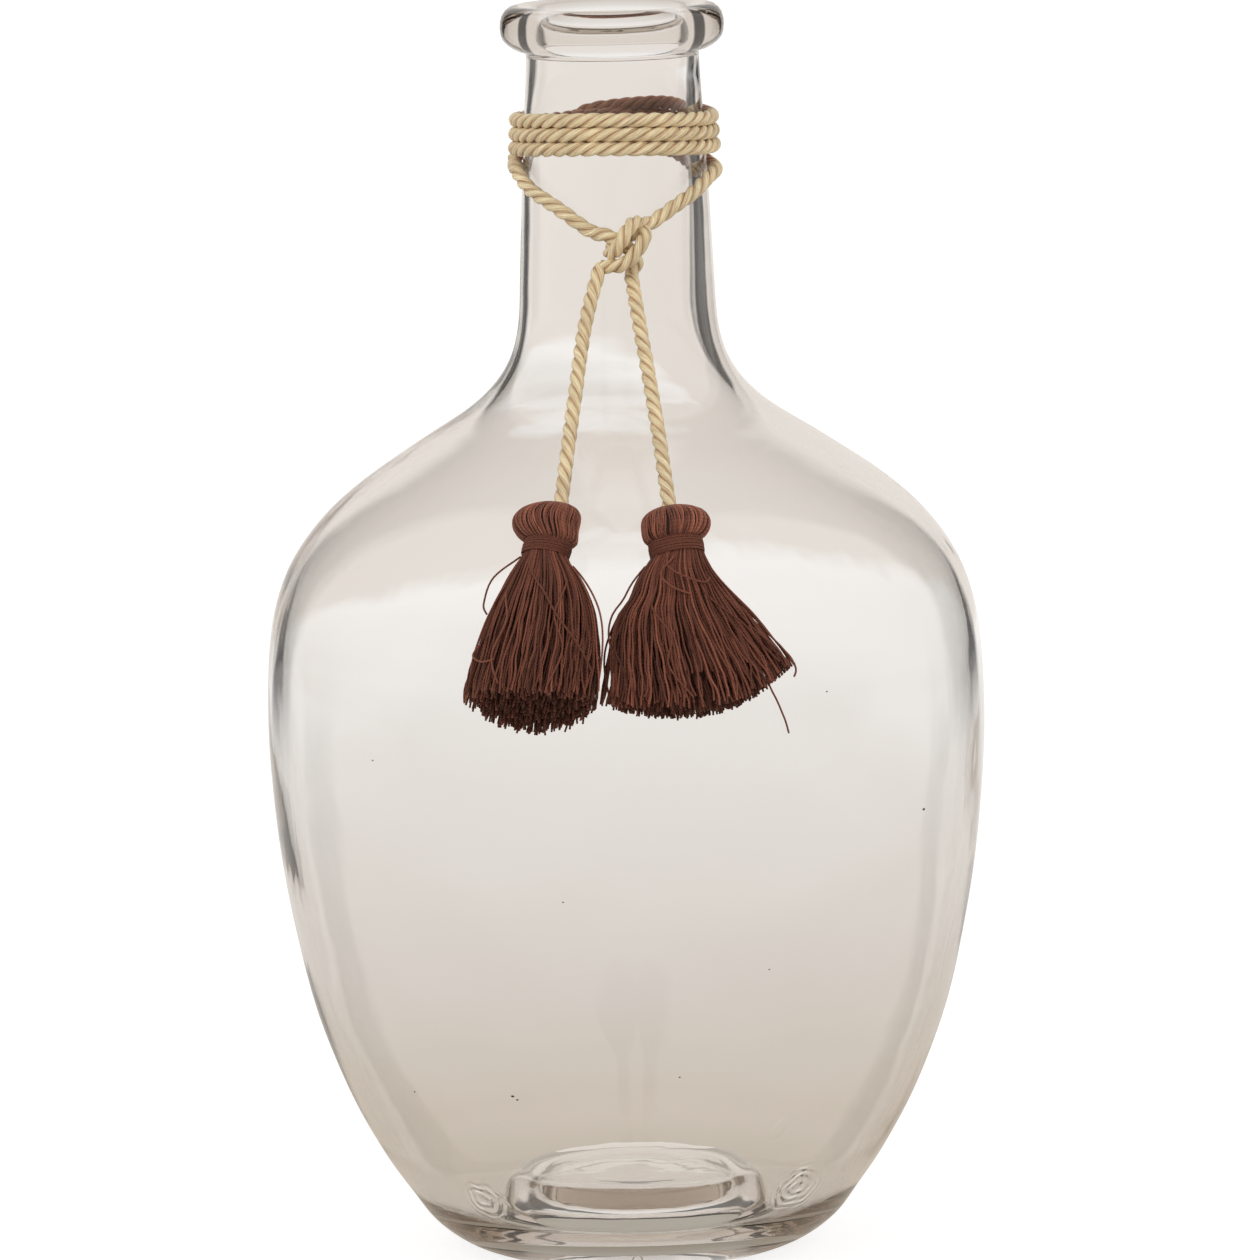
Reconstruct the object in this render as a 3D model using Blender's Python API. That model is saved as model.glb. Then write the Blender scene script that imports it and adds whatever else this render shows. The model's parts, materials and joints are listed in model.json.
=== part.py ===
"""A blown-glass demijohn. A twisted cord is wound round its neck and tied in front, and each
end of the cord carries a cotton tassel that lies on the shoulder.

Metres, +Z up. The origin is the middle of the resting ring, and -Y is the front, where the
cord is tied.
"""
import math

import bmesh
import bpy
from mathutils import Vector

# Glass body
HEIGHT = 0.310
RING_INNER_RADIUS = 0.030
RING_OUTER_RADIUS = 0.0365
BELLY_RADIUS = 0.089
BELLY_HEIGHT = 0.135
NECK_FOOT_RADIUS = 0.0246
NECK_FOOT_HEIGHT = 0.232
NECK_TOP_RADIUS = 0.0213
COLLAR_HEIGHT = 0.0122
COLLAR_RADIUS = 0.0276
CREST_RADIUS = 0.0236
MOUTH_RADIUS = 0.0209
GLASS_WALL = 0.0034
PUNT_DEPTH = 0.0140
FLOOR_RADIUS = 0.040
FLOOR_HEIGHT = 0.0088
FLOOR_RISE = 0.0110
HEEL_TOP_HEIGHT = 0.025
GLASS_SEGMENTS = 48
MERGE_DISTANCE = 0.00001
SLOPE_STEP = 0.001

# Height and reach along the lower body, from the resting ring to the belly
LOWER_BODY_SHARES = (
    (0.022, 0.145), (0.060, 0.275), (0.112, 0.375), (0.185, 0.503), (0.296, 0.655),
    (0.444, 0.799), (0.593, 0.891), (0.741, 0.954), (0.889, 0.990),
)
# Height and remaining reach along the shoulder, from the belly to the neck's foot
SHOULDER_SHARES = (
    (0.155, 0.991), (0.278, 0.962), (0.392, 0.895), (0.495, 0.783), (0.577, 0.648),
    (0.649, 0.496), (0.711, 0.353), (0.773, 0.208), (0.835, 0.105), (0.907, 0.035),
)
# Height and remaining flare along the neck, from its foot to the collar
NECK_SHARES = ((0.198, 0.79), (0.456, 0.57), (0.730, 0.29))
# Height and overhang of the collar, from its underside to its crest
COLLAR_SHARES = (
    (0.06, 0.20), (0.18, 0.62), (0.34, 0.92), (0.55, 1.00), (0.76, 0.95), (0.90, 0.80), (0.975, 0.60),
)
# Height on the collar, and how far the lip has turned in from the crest to the mouth
LIP_SHARES = ((0.965, 0.50), (0.88, 0.85), (0.72, 1.00))
# Height on the collar, and how far the bore has opened from the neck to the mouth
THROAT_SHARES = ((0.10, 0.97), (-0.12, 0.70), (-0.40, 0.25), (-0.65, 0.05))
THROAT_FOOT_SHARE = -0.9
# Reach and height of the heel's inner corner, from the floor to the wall
HEEL_SHARES = ((0.40, 0.14), (0.66, 0.42))
# Radius on the floor, and how far it rises to its middle
FLOOR_SHARES = ((0.92, 0.05), (0.85, 0.28), (0.78, 0.72), (0.69, 0.95), (0.44, 1.0))
# Radius under the base, and how far the punt rises to its middle
PUNT_SHARES = ((0.97, 0.22), (0.90, 0.74), (0.80, 0.95), (0.50, 1.0))

# Cord
CORD_DIAMETER = 0.0031
SEAT_GAP = 0.0003
TURN_PITCH = 0.0036
TURN_POINTS = 24
FIRST_TURN_HEIGHT = 0.2835
WINDING_TILT = 0.0041
WINDING_LEAN = 0.00125
LEFT_EDGE_HEIGHT = 0.2706
CROSSING_LOW_HEIGHT = 0.2700
CROSSING_TOP_HEIGHT = 0.2828
RIGHT_EDGE_HEIGHT = 0.2688
FRONT_TURNS = 3
SELF_GAP_LEAST = 0.0004
# Where the cord crosses behind the neck, in shares of a turn from the front by the left: it dips
# below the turns, climbs over them to the top, and has run into the first turn
DIP_SHARE = 7 / 24
TOP_SHARE = 12 / 24
MERGED_SHARE = 16 / 24
# Where it rises onto the turns and comes down again
ON_SHARES = (6.6 / 24, 8 / 24)
OFF_SHARES = (11 / 24, 13.5 / 24)
# Stretch at the last turn's end over which it drops towards the knot
DROP_SHARE = 1 / 6

# Routes of the cord's free stretches and of its knot, point by point. Each starts where the
# stretch before it ends.
LEFT_SPAN_ROUTE = (
    (-0.0242, -0.0066, 0.2702), (-0.0226, -0.0109, 0.2678), (-0.0206, -0.0143, 0.2658),
    (-0.0184, -0.0171, 0.2644), (-0.0152, -0.0201, 0.2625), (-0.0120, -0.0223, 0.2604),
    (-0.0088, -0.0239, 0.2581), (-0.0056, -0.0252, 0.2562),
)
RIGHT_SPAN_ROUTE = (
    (0.0242, -0.0066, 0.2686), (0.0226, -0.0109, 0.2676), (0.0209, -0.0139, 0.2660),
    (0.0183, -0.0172, 0.2641), (0.0150, -0.0202, 0.2622), (0.0117, -0.0223, 0.2601),
    (0.0082, -0.0243, 0.2581),
)
FALLING_STRAND_ROUTE = (
    (-0.0002, -0.0290, 0.2541), (0.0018, -0.0309, 0.2529), (0.0031, -0.0313, 0.2509),
    (0.0035, -0.0301, 0.2490), (0.0035, -0.0291, 0.2474),
)
LOOPING_STRAND_ROUTE = (
    (0.0026, -0.0286, 0.2581), (0.0002, -0.0291, 0.2576), (-0.0020, -0.0279, 0.2560),
    (-0.0022, -0.0260, 0.2538), (0.0002, -0.0257, 0.2520), (0.0032, -0.0261, 0.2521),
    (0.0058, -0.0271, 0.2532), (0.0066, -0.0290, 0.2547), (0.0050, -0.0303, 0.2545),
    (0.0024, -0.0292, 0.2529), (0.0000, -0.0285, 0.2517), (-0.0020, -0.0287, 0.2506),
    (-0.0030, -0.0293, 0.2496),
)
LEFT_TAIL_ROUTE = (
    (-0.0062, -0.0352, 0.2419), (-0.0081, -0.0411, 0.2350), (-0.0094, -0.0472, 0.2282),
    (-0.0105, -0.0534, 0.2214), (-0.0117, -0.0597, 0.2144), (-0.0129, -0.0661, 0.2073),
    (-0.0142, -0.0728, 0.1987),
)
RIGHT_TAIL_ROUTE = (
    (0.0044, -0.0353, 0.2397), (0.0055, -0.0413, 0.2330), (0.0067, -0.0475, 0.2263),
    (0.0078, -0.0539, 0.2196), (0.0089, -0.0605, 0.2129), (0.0099, -0.0673, 0.2060),
    (0.0110, -0.0744, 0.1978),
)

# Tassels
LEFT_WAIST_AIM = (-0.0183, -0.0803, 0.1855)
LEFT_HEM = (-0.0224, -0.0990, 0.1480)
RIGHT_WAIST_AIM = (0.0128, -0.0810, 0.1859)
RIGHT_HEM = (0.0176, -0.0957, 0.1492)
STEM_LENGTH = 0.0020
LEFT_HEAD_LENGTH = 0.0095
RIGHT_HEAD_LENGTH = 0.0082
LEFT_HEAD_RADIUS = 0.0081
RIGHT_HEAD_RADIUS = 0.0084
LEFT_HEAD_SHIFT = -0.0020
RIGHT_HEAD_SHIFT = 0.0008
LEFT_WAIST_RADIUS = 0.0052
RIGHT_WAIST_RADIUS = 0.0060
BINDING_WIDTH = 0.0040
BINDING_THICKNESS = 0.0007
BINDING_ROUND_SHARE = 0.7
LEFT_HEM_HALF_WIDTH = 0.0153
LEFT_HEM_HALF_DEPTH = 0.0124
RIGHT_HEM_HALF_WIDTH = 0.0232
RIGHT_HEM_HALF_DEPTH = 0.0086
LEFT_HEM_RISES = (0.0028, 0.0028)
RIGHT_HEM_RISES = (0.0040, 0.0110)
HEM_RAG = 0.0007
TASSEL_GAP = 0.0008
YARN_SEGMENTS = 28
FLUTES = 9
FLUTE_SHARE = 0.035
TAIL_KNOT_RADIUS = 0.0030
TAIL_KNOT_LENGTH = 0.0052

# Distance along the head, and how far out its side is there
HEAD_SHARES = (
    (0.02, 0.30), (0.12, 0.62), (0.28, 0.86), (0.50, 1.00), (0.72, 0.96), (0.90, 0.80),
)
# Distance along the skirt, how far it has spread from the waist to the hem, and how far its middle
# lies to the right of its line, in half-widths of the hem
LEFT_SKIRT_SHARES = (
    (0.05, 0.13, 0.02), (0.12, 0.30, 0.05), (0.23, 0.50, 0.08), (0.37, 0.70, 0.09),
    (0.54, 0.84, 0.08), (0.76, 0.95, 0.04), (1.00, 1.00, 0),
)
RIGHT_SKIRT_SHARES = (
    (0.05, 0.11, -0.05), (0.13, 0.25, -0.12), (0.29, 0.50, -0.13), (0.48, 0.73, -0.09),
    (0.68, 0.92, -0.01), (0.85, 0.99, 0.01), (1.00, 1.00, 0),
)
# How far the skirt's line is drawn towards the head's before it runs to the hem
BEND_SHARE = 0.25
# Radius on the skirt's underside, and how far up it is tucked, in half-depths of the hem
UNDERSIDE_SHARES = ((0.82, 0.06), (0.45, 0.14))


def smooth(points, steps):
    """Points on a Catmull-Rom curve through the given ones, with this many steps to each span."""
    ends = [points[0]] + list(points) + [points[-1]]
    curve = []
    for a, b, c, d in zip(ends, ends[1:], ends[2:], ends[3:]):
        for step in range(steps):
            t = step / steps
            weights = (
                -t + 2 * t**2 - t**3,
                2 - 5 * t**2 + 3 * t**3,
                t + 4 * t**2 - 3 * t**3,
                -(t**2) + t**3,
            )
            curve.append(tuple(
                sum(w * p[i] for w, p in zip(weights, (a, b, c, d))) / 2 for i in range(len(a))
            ))
    return curve + [tuple(points[-1])]


def between(low, high, share):
    return low + (high - low) * share


def outer_outline():
    """(radius, height) from the resting ring's outer edge up to the collar's crest."""
    collar_foot = HEIGHT - COLLAR_HEIGHT
    body = [(RING_OUTER_RADIUS, 0)]
    for up, out in LOWER_BODY_SHARES:
        body.append((between(RING_OUTER_RADIUS, BELLY_RADIUS, out), BELLY_HEIGHT * up))
    body.append((BELLY_RADIUS, BELLY_HEIGHT))
    for up, out in SHOULDER_SHARES:
        body.append((
            between(NECK_FOOT_RADIUS, BELLY_RADIUS, out), between(BELLY_HEIGHT, NECK_FOOT_HEIGHT, up)
        ))
    body.append((NECK_FOOT_RADIUS, NECK_FOOT_HEIGHT))
    for up, out in NECK_SHARES:
        body.append((
            between(NECK_TOP_RADIUS, NECK_FOOT_RADIUS, out), between(NECK_FOOT_HEIGHT, collar_foot, up)
        ))
    body.append((NECK_TOP_RADIUS, collar_foot))
    collar = [
        (between(NECK_TOP_RADIUS, COLLAR_RADIUS, out), between(collar_foot, HEIGHT, up))
        for up, out in COLLAR_SHARES
    ]
    return body + collar + [(CREST_RADIUS, HEIGHT)]


def radius_at(height):
    """The glass's outer radius at a height, below the collar."""
    outline = outer_outline()
    for (r0, z0), (r1, z1) in zip(outline, outline[1:]):
        if z0 <= height <= z1 and z1 > z0:
            return between(r0, r1, (height - z0) / (z1 - z0))
    return outline[-1][0]


def wall_inside(outline, low, high):
    """The outline moved in by the glass's thickness, between two heights of the outside."""
    inside = []
    for before, here, after in zip(outline, outline[1:], outline[2:]):
        if low <= here[1] <= high:
            run = Vector((after[0] - before[0], after[1] - before[1])).normalized()
            inside.append((here[0] - run.y * GLASS_WALL, here[1] + run.x * GLASS_WALL))
    return inside


def glass_outline():
    """The whole section, from the floor's middle up the inside, over the lip and down the outside."""
    outer = outer_outline()
    collar_foot = HEIGHT - COLLAR_HEIGHT
    throat_foot = collar_foot + COLLAR_HEIGHT * THROAT_FOOT_SHARE
    wall = wall_inside(outer, HEEL_TOP_HEIGHT, throat_foot)
    neck_bore = wall[-1][0]
    outline = [(0, FLOOR_HEIGHT + FLOOR_RISE)]
    outline += [(FLOOR_RADIUS * out, FLOOR_HEIGHT + FLOOR_RISE * up) for out, up in reversed(FLOOR_SHARES)]
    outline.append((FLOOR_RADIUS, FLOOR_HEIGHT))
    outline += [
        (between(FLOOR_RADIUS, wall[0][0], out), between(FLOOR_HEIGHT, wall[0][1], up))
        for out, up in HEEL_SHARES
    ]
    outline += wall
    outline += [
        (between(neck_bore, MOUTH_RADIUS, out), collar_foot + COLLAR_HEIGHT * up)
        for up, out in reversed(THROAT_SHARES)
    ]
    outline += [
        (between(CREST_RADIUS, MOUTH_RADIUS, turned), collar_foot + COLLAR_HEIGHT * up)
        for up, turned in reversed(LIP_SHARES)
    ]
    outline += reversed(outer)
    outline.append((RING_INNER_RADIUS, 0))
    outline += [(RING_INNER_RADIUS * out, PUNT_DEPTH * up) for out, up in PUNT_SHARES]
    outline.append((0, PUNT_DEPTH))
    return outline


def material(name, colour, roughness, transmission=0.0):
    """A named finish with a Principled shader."""
    made = bpy.data.materials.new(name)
    made.use_nodes = True
    shader = made.node_tree.nodes["Principled BSDF"]
    shader.inputs["Base Color"].default_value = (*colour, 1)
    shader.inputs["Roughness"].default_value = roughness
    shader.inputs["Metallic"].default_value = 0
    shader.inputs["Transmission Weight"].default_value = transmission
    return made


def place(obj, finish, parent=None):
    """Puts an object in the scene, with its finish, under its parent without moving it."""
    bpy.context.scene.collection.objects.link(obj)
    obj.data.materials.append(finish)
    if parent is not None:
        obj.parent = parent
        obj.matrix_parent_inverse = parent.matrix_world.inverted()
    return obj


def pivot(name, at, parent=None):
    """An empty on a joint's axis."""
    empty = bpy.data.objects.new(name, None)
    bpy.context.scene.collection.objects.link(empty)
    empty.location = at
    if parent is not None:
        empty.parent = parent
        empty.matrix_parent_inverse = parent.matrix_world.inverted()
    bpy.context.view_layer.update()
    return empty


def turned(name, outline, segments, finish):
    """A solid of revolution about Z."""
    mesh = bpy.data.meshes.new(name)
    points = [(radius, 0, height) for radius, height in outline]
    mesh.from_pydata(points, [(i, i + 1) for i in range(len(points) - 1)], [])
    obj = place(bpy.data.objects.new(name, mesh), finish)
    screw = obj.modifiers.new("Turn", "SCREW")
    screw.axis = "Z"
    screw.angle = math.tau
    screw.steps = segments
    screw.render_steps = segments
    screw.use_merge_vertices = True
    screw.merge_threshold = MERGE_DISTANCE
    screw.use_smooth_shade = True
    return obj


def cord_curve(name, route, sides_step, round_start=None):
    """A round cord along a route. round_start gives it a half-round tip in that many points."""
    curve = bpy.data.curves.new(name, "CURVE")
    curve.dimensions = "3D"
    curve.bevel_depth = CORD_DIAMETER / 2
    curve.bevel_resolution = sides_step
    curve.use_fill_caps = True
    points = [Vector(p) for p in route]
    radii = [1.0] * len(points)
    if round_start:
        back = (points[0] - points[1]).normalized()
        tip = []
        for i in range(1, round_start + 1):
            angle = i / (round_start + 1) * math.pi / 2
            tip.append((points[0] + back * math.sin(angle) * CORD_DIAMETER / 2, math.cos(angle)))
        points = [p for p, _ in reversed(tip)] + points
        radii = [r for _, r in reversed(tip)] + radii
    spline = curve.splines.new("POLY")
    spline.points.add(len(points) - 1)
    for target, point, radius in zip(spline.points, points, radii):
        target.co = (*point, 1)
        target.radius = radius
    spline.use_smooth = True
    return bpy.data.objects.new(name, curve)


def as_mesh(name, source):
    """The evaluated shape of an object that is in no scene yet, as a new mesh object."""
    bpy.context.scene.collection.objects.link(source)
    graph = bpy.context.evaluated_depsgraph_get()
    mesh = bpy.data.meshes.new_from_object(source.evaluated_get(graph))
    bpy.data.objects.remove(source)
    mesh.name = name
    return bpy.data.objects.new(name, mesh)


def turn_height(turn):
    """Height of the winding's slanting turns. turn counts from the front by the left."""
    angle = turn * math.tau
    tilt = WINDING_TILT * (1 - math.cos(angle)) / 2
    return FIRST_TURN_HEIGHT - TURN_PITCH * (turn - 1) - tilt + WINDING_LEAN * math.sin(angle)


def eased(start, end, value):
    """0 before the start, 1 past the end, and a smooth rise from one to the other."""
    share = min(max((value - start) / (end - start), 0), 1)
    return share * share * (3 - 2 * share)


def crossing_height(turn):
    """Height of the stretch that crosses behind the neck, over the turns, into the first turn."""
    if turn < DIP_SHARE:
        return between(LEFT_EDGE_HEIGHT, CROSSING_LOW_HEIGHT, eased(1 / 4, DIP_SHARE, turn))
    if turn < TOP_SHARE:
        return between(CROSSING_LOW_HEIGHT, CROSSING_TOP_HEIGHT, eased(DIP_SHARE, TOP_SHARE, turn))
    return between(CROSSING_TOP_HEIGHT, turn_height(turn), eased(TOP_SHARE, MERGED_SHARE, turn))


def winding_route():
    """Points of the winding, from the neck's left edge, up across the back over the turns, then
    down in turns from the front to the neck's right edge."""
    points = []
    first = TURN_POINTS // 4
    last = TURN_POINTS * FRONT_TURNS + 3 * first
    chord_dip = NECK_FOOT_RADIUS * (1 - math.cos(math.pi / TURN_POINTS))
    drop = turn_height(last / TURN_POINTS) - RIGHT_EDGE_HEIGHT
    for step in range(first, last + 1):
        turn = step / TURN_POINTS
        layer = 0.0
        if step < 3 * first:
            height = crossing_height(turn)
            on_turns = eased(*ON_SHARES, turn) * (1 - eased(*OFF_SHARES, turn))
            layer = (CORD_DIAMETER + SELF_GAP_LEAST + SEAT_GAP / 2) * on_turns
        else:
            height = turn_height(turn)
            height -= drop * eased(last / TURN_POINTS - DROP_SHARE, last / TURN_POINTS, turn)
        reach = radius_at(height) + SEAT_GAP + chord_dip + CORD_DIAMETER / 2 + layer
        angle = turn * math.tau
        points.append((-reach * math.sin(angle), -reach * math.cos(angle), height))
    return points


def least_self_gap(route):
    """The least clear distance between two stretches of a tube that aren't next to each other."""
    steps = 3
    points = smooth(route, steps)
    apart = steps * TURN_POINTS // 2
    least = min(
        (Vector(a) - Vector(b)).length
        for i, a in enumerate(points)
        for b in points[i + apart:]
    )
    return least - CORD_DIAMETER


def past_end(route, distance):
    """The point this far past a route's end, straight on."""
    end = Vector(route[-1])
    return end + (end - Vector(route[-2])).normalized() * distance


def carried_on(before, route):
    """The route from a gap past the end of the stretch before it, square to that end."""
    start = past_end(before, SEAT_GAP)
    return [tuple(start), tuple(past_end(before, SEAT_GAP + CORD_DIAMETER))] + list(route)


def straight_ends(route, first_aim, last_aim):
    """The route with a straight run of one diameter at each end, aimed at the next stretch."""
    start, end = Vector(route[0]), Vector(route[-1])
    first = start + (Vector(first_aim) - start).normalized() * CORD_DIAMETER
    last = end + (Vector(last_aim) - end).normalized() * CORD_DIAMETER
    return [tuple(first)] + list(route) + [tuple(last)]


def frame_along(top, waist, hem, share):
    """Middle, way along, way sideways and way out at a share of the skirt, which leaves the waist
    between the head's line and the straight way to the hem."""
    top, waist, hem = Vector(top), Vector(waist), Vector(hem)
    head_line = (waist - top).normalized()
    half = (hem - waist) / 2
    bend = waist + half.lerp(head_line * half.length, BEND_SHARE)
    middle = waist * (1 - share) ** 2 + bend * 2 * share * (1 - share) + hem * share**2
    along = ((bend - waist) * (1 - share) + (hem - bend) * share).normalized()
    outward = Vector((middle.x, middle.y, 0)).normalized()
    sideways = outward.cross(along).normalized()
    return middle, along, sideways, along.cross(sideways)


def seated(point, gap):
    """The point, moved straight out from the glass's axis if it lies in the glass or too near it."""
    reach = math.hypot(point.x, point.y)
    slope = (radius_at(point.z + SLOPE_STEP) - radius_at(point.z - SLOPE_STEP)) / (2 * SLOPE_STEP)
    least = radius_at(point.z) + gap * math.hypot(1, slope)
    if reach < least:
        return Vector((point.x * least / reach, point.y * least / reach, point.z))
    return point


def lofted(name, rings, first, last, finish, parent):
    """A closed solid through rings of equal count, with a point at each end."""
    mesh = bpy.data.meshes.new(name)
    work = bmesh.new()
    loops = [[work.verts.new(p) for p in ring] for ring in rings]
    count = len(loops[0])
    for low, high in zip(loops, loops[1:]):
        for i in range(count):
            j = (i + 1) % count
            work.faces.new((low[i], low[j], high[j], high[i]))
    for loop, tip, flip in ((loops[0], first, False), (loops[-1], last, True)):
        pole = work.verts.new(tip)
        for i in range(count):
            j = (i + 1) % count
            corners = (pole, loop[j], loop[i]) if not flip else (pole, loop[i], loop[j])
            work.faces.new(corners)
    bmesh.ops.recalc_face_normals(work, faces=work.faces)
    work.to_mesh(mesh)
    work.free()
    mesh.shade_smooth()
    mesh.set_sharp_from_angle(angle=math.radians(50))
    return place(bpy.data.objects.new(name, mesh), finish, parent)


def ring_of(middle, sideways, outward, half_width, half_depth, flutes=0.0, rises=(0, 0), rag=0.0):
    """One closed ring of a tassel. Its left and right sides can lie further up than its middle by
    the rises, and its edge can be ragged."""
    upward = outward.cross(sideways)
    ring = []
    for i in range(YARN_SEGMENTS):
        angle = i / YARN_SEGMENTS * math.tau
        swell = 1 + flutes * math.cos(FLUTES * angle)
        rise = rises[1] if math.cos(angle) > 0 else rises[0]
        lift = rise * math.cos(angle) ** 2 + rag * math.sin(2 * FLUTES * angle)
        ring.append(
            middle
            + sideways * half_width * swell * math.cos(angle)
            + outward * half_depth * swell * math.sin(angle)
            + upward * lift
        )
    return ring


def tassel_yarn(name, side, finish, parent):
    """The folded bundle of yarn: its head with a pocket for the cord's knot, its waist and skirt."""
    top, waist, hem = (Vector(side[key]) for key in ("top", "waist", "hem"))
    line = (waist - top).normalized()
    _, _, sideways, outward = frame_along(top, waist, hem, 0)
    crown = top + line * STEM_LENGTH
    bore = CORD_DIAMETER / 2 + SEAT_GAP
    pocket = TAIL_KNOT_RADIUS + SEAT_GAP
    head_length = side["head_length"]
    knot_top = crown + line * (head_length - TAIL_KNOT_LENGTH) / 2
    knot_foot = knot_top + line * TAIL_KNOT_LENGTH
    inside = [
        (knot_foot + line * SEAT_GAP, pocket / 2),
        (knot_foot - line * TAIL_KNOT_LENGTH / 4, pocket),
        (knot_top + line * TAIL_KNOT_LENGTH / 4, pocket),
        (knot_top - line * SEAT_GAP, bore),
        (crown, bore),
    ]
    rings = [ring_of(at, sideways, outward, radius, radius) for at, radius in inside]
    shift = sideways * side["head_shift"]
    for along, out in HEAD_SHARES:
        reach = between(bore, side["head_radius"], out)
        sway = shift * math.sin(along * math.pi)
        rings.append(ring_of(crown + line * head_length * along + sway, sideways, outward, reach, reach))
    half_binding = line * BINDING_WIDTH / 2
    for at in (waist - half_binding, waist + half_binding):
        radius = side["waist_radius"]
        rings.append(ring_of(at, sideways, outward, radius, radius))
    skirt_start = BINDING_WIDTH / 2 / (hem - waist).length
    for along, out, lean in side["skirt_shares"]:
        share = between(skirt_start, 1, along)
        middle, way, across, front = frame_along(top, waist, hem, share)
        middle += across * side["hem_half_width"] * lean
        width = between(side["waist_radius"], side["hem_half_width"], out)
        depth = between(side["waist_radius"], side["hem_half_depth"], out)
        flutes = FLUTE_SHARE * along
        rises = [rise * along**3 for rise in side["hem_rises"]]
        rag = HEM_RAG if along == 1 else 0
        rings.append(ring_of(middle, across, front, width, depth, flutes, rises, rag))
    for out, tuck in UNDERSIDE_SHARES:
        inner = middle - way * side["hem_half_depth"] * tuck
        rises = [rise * out**2 for rise in side["hem_rises"]]
        rings.append(ring_of(inner, across, front, width * out, depth * out, 0.0, rises))
    tip = middle - way * side["hem_half_depth"] * UNDERSIDE_SHARES[-1][1]
    rings = [[seated(p, TASSEL_GAP) for p in ring] for ring in rings]
    return lofted(name, rings, knot_foot + line * SEAT_GAP, tip, finish, parent)


def tassel_binding(name, side, finish, parent):
    """The yarn that binds the waist, as a ring round it."""
    top, waist, hem = (Vector(side[key]) for key in ("top", "waist", "hem"))
    line = (waist - top).normalized()
    _, _, sideways, outward = frame_along(top, waist, hem, 0)
    inner = side["waist_radius"] + SEAT_GAP
    outer = inner + BINDING_THICKNESS
    half = BINDING_WIDTH / 2 - SEAT_GAP
    shoulder = between(inner, outer, BINDING_ROUND_SHARE)
    section = (
        (inner, -half), (shoulder, -half), (outer, -half / 2), (outer, half / 2), (shoulder, half),
        (inner, half),
    )
    work = bmesh.new()
    loops = [
        [work.verts.new(p) for p in ring_of(waist + line * along, sideways, outward, radius, radius)]
        for radius, along in section
    ]
    for low, high in zip(loops, loops[1:] + loops[:1]):
        for i in range(YARN_SEGMENTS):
            j = (i + 1) % YARN_SEGMENTS
            work.faces.new((low[i], low[j], high[j], high[i]))
    bmesh.ops.recalc_face_normals(work, faces=work.faces)
    mesh = bpy.data.meshes.new(name)
    work.to_mesh(mesh)
    work.free()
    mesh.shade_smooth()
    mesh.set_sharp_from_angle(angle=math.radians(50))
    return place(bpy.data.objects.new(name, mesh), finish, parent)


def tail_knot(name, side, finish, parent):
    """The knot on the cord's end inside the head, with its stem up to the pivot."""
    top, waist, hem = (Vector(side[key]) for key in ("top", "waist", "hem"))
    line = (waist - top).normalized()
    _, _, sideways, outward = frame_along(top, waist, hem, 0)
    cord = CORD_DIAMETER / 2
    knot_top = STEM_LENGTH + (side["head_length"] - TAIL_KNOT_LENGTH) / 2
    profile = [
        (-cord * math.sin(math.radians(60)), cord * math.cos(math.radians(60))),
        (-cord * math.sin(math.radians(30)), cord * math.cos(math.radians(30))),
        (0, cord),
        (knot_top, cord),
        (knot_top + TAIL_KNOT_LENGTH / 4, TAIL_KNOT_RADIUS),
        (knot_top + TAIL_KNOT_LENGTH * 3 / 4, TAIL_KNOT_RADIUS),
        (knot_top + TAIL_KNOT_LENGTH, TAIL_KNOT_RADIUS / 2),
    ]
    rings = [ring_of(top + line * at, sideways, outward, radius, radius) for at, radius in profile]
    foot = top + line * (knot_top + TAIL_KNOT_LENGTH)
    return lofted(name, rings, top - line * cord, foot, finish, parent)


def strand_route(before, route):
    """A strand of the knot: straight for one diameter where it enters, then a smooth curve."""
    start, *rest = carried_on(before, route)
    return [start] + smooth(rest, 2)


def front_knot(falling_route, looping_route, finish, parent):
    """The knot in front: two strands crossed and looped round each other, joined as one solid."""
    falling = place(as_mesh("falling_strand", cord_curve("falling", falling_route, 2)), finish)
    knot = place(as_mesh("front_knot", cord_curve("looping", looping_route, 2)), finish, parent)
    join = knot.modifiers.new("Join", "BOOLEAN")
    join.operation = "UNION"
    join.solver = "EXACT"
    join.use_self = True
    join.object = falling
    falling.hide_render = True
    falling.display_type = "WIRE"
    return knot


def remove_all():
    """Empties the scene."""
    for obj in list(bpy.data.objects):
        bpy.data.objects.remove(obj)


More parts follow.
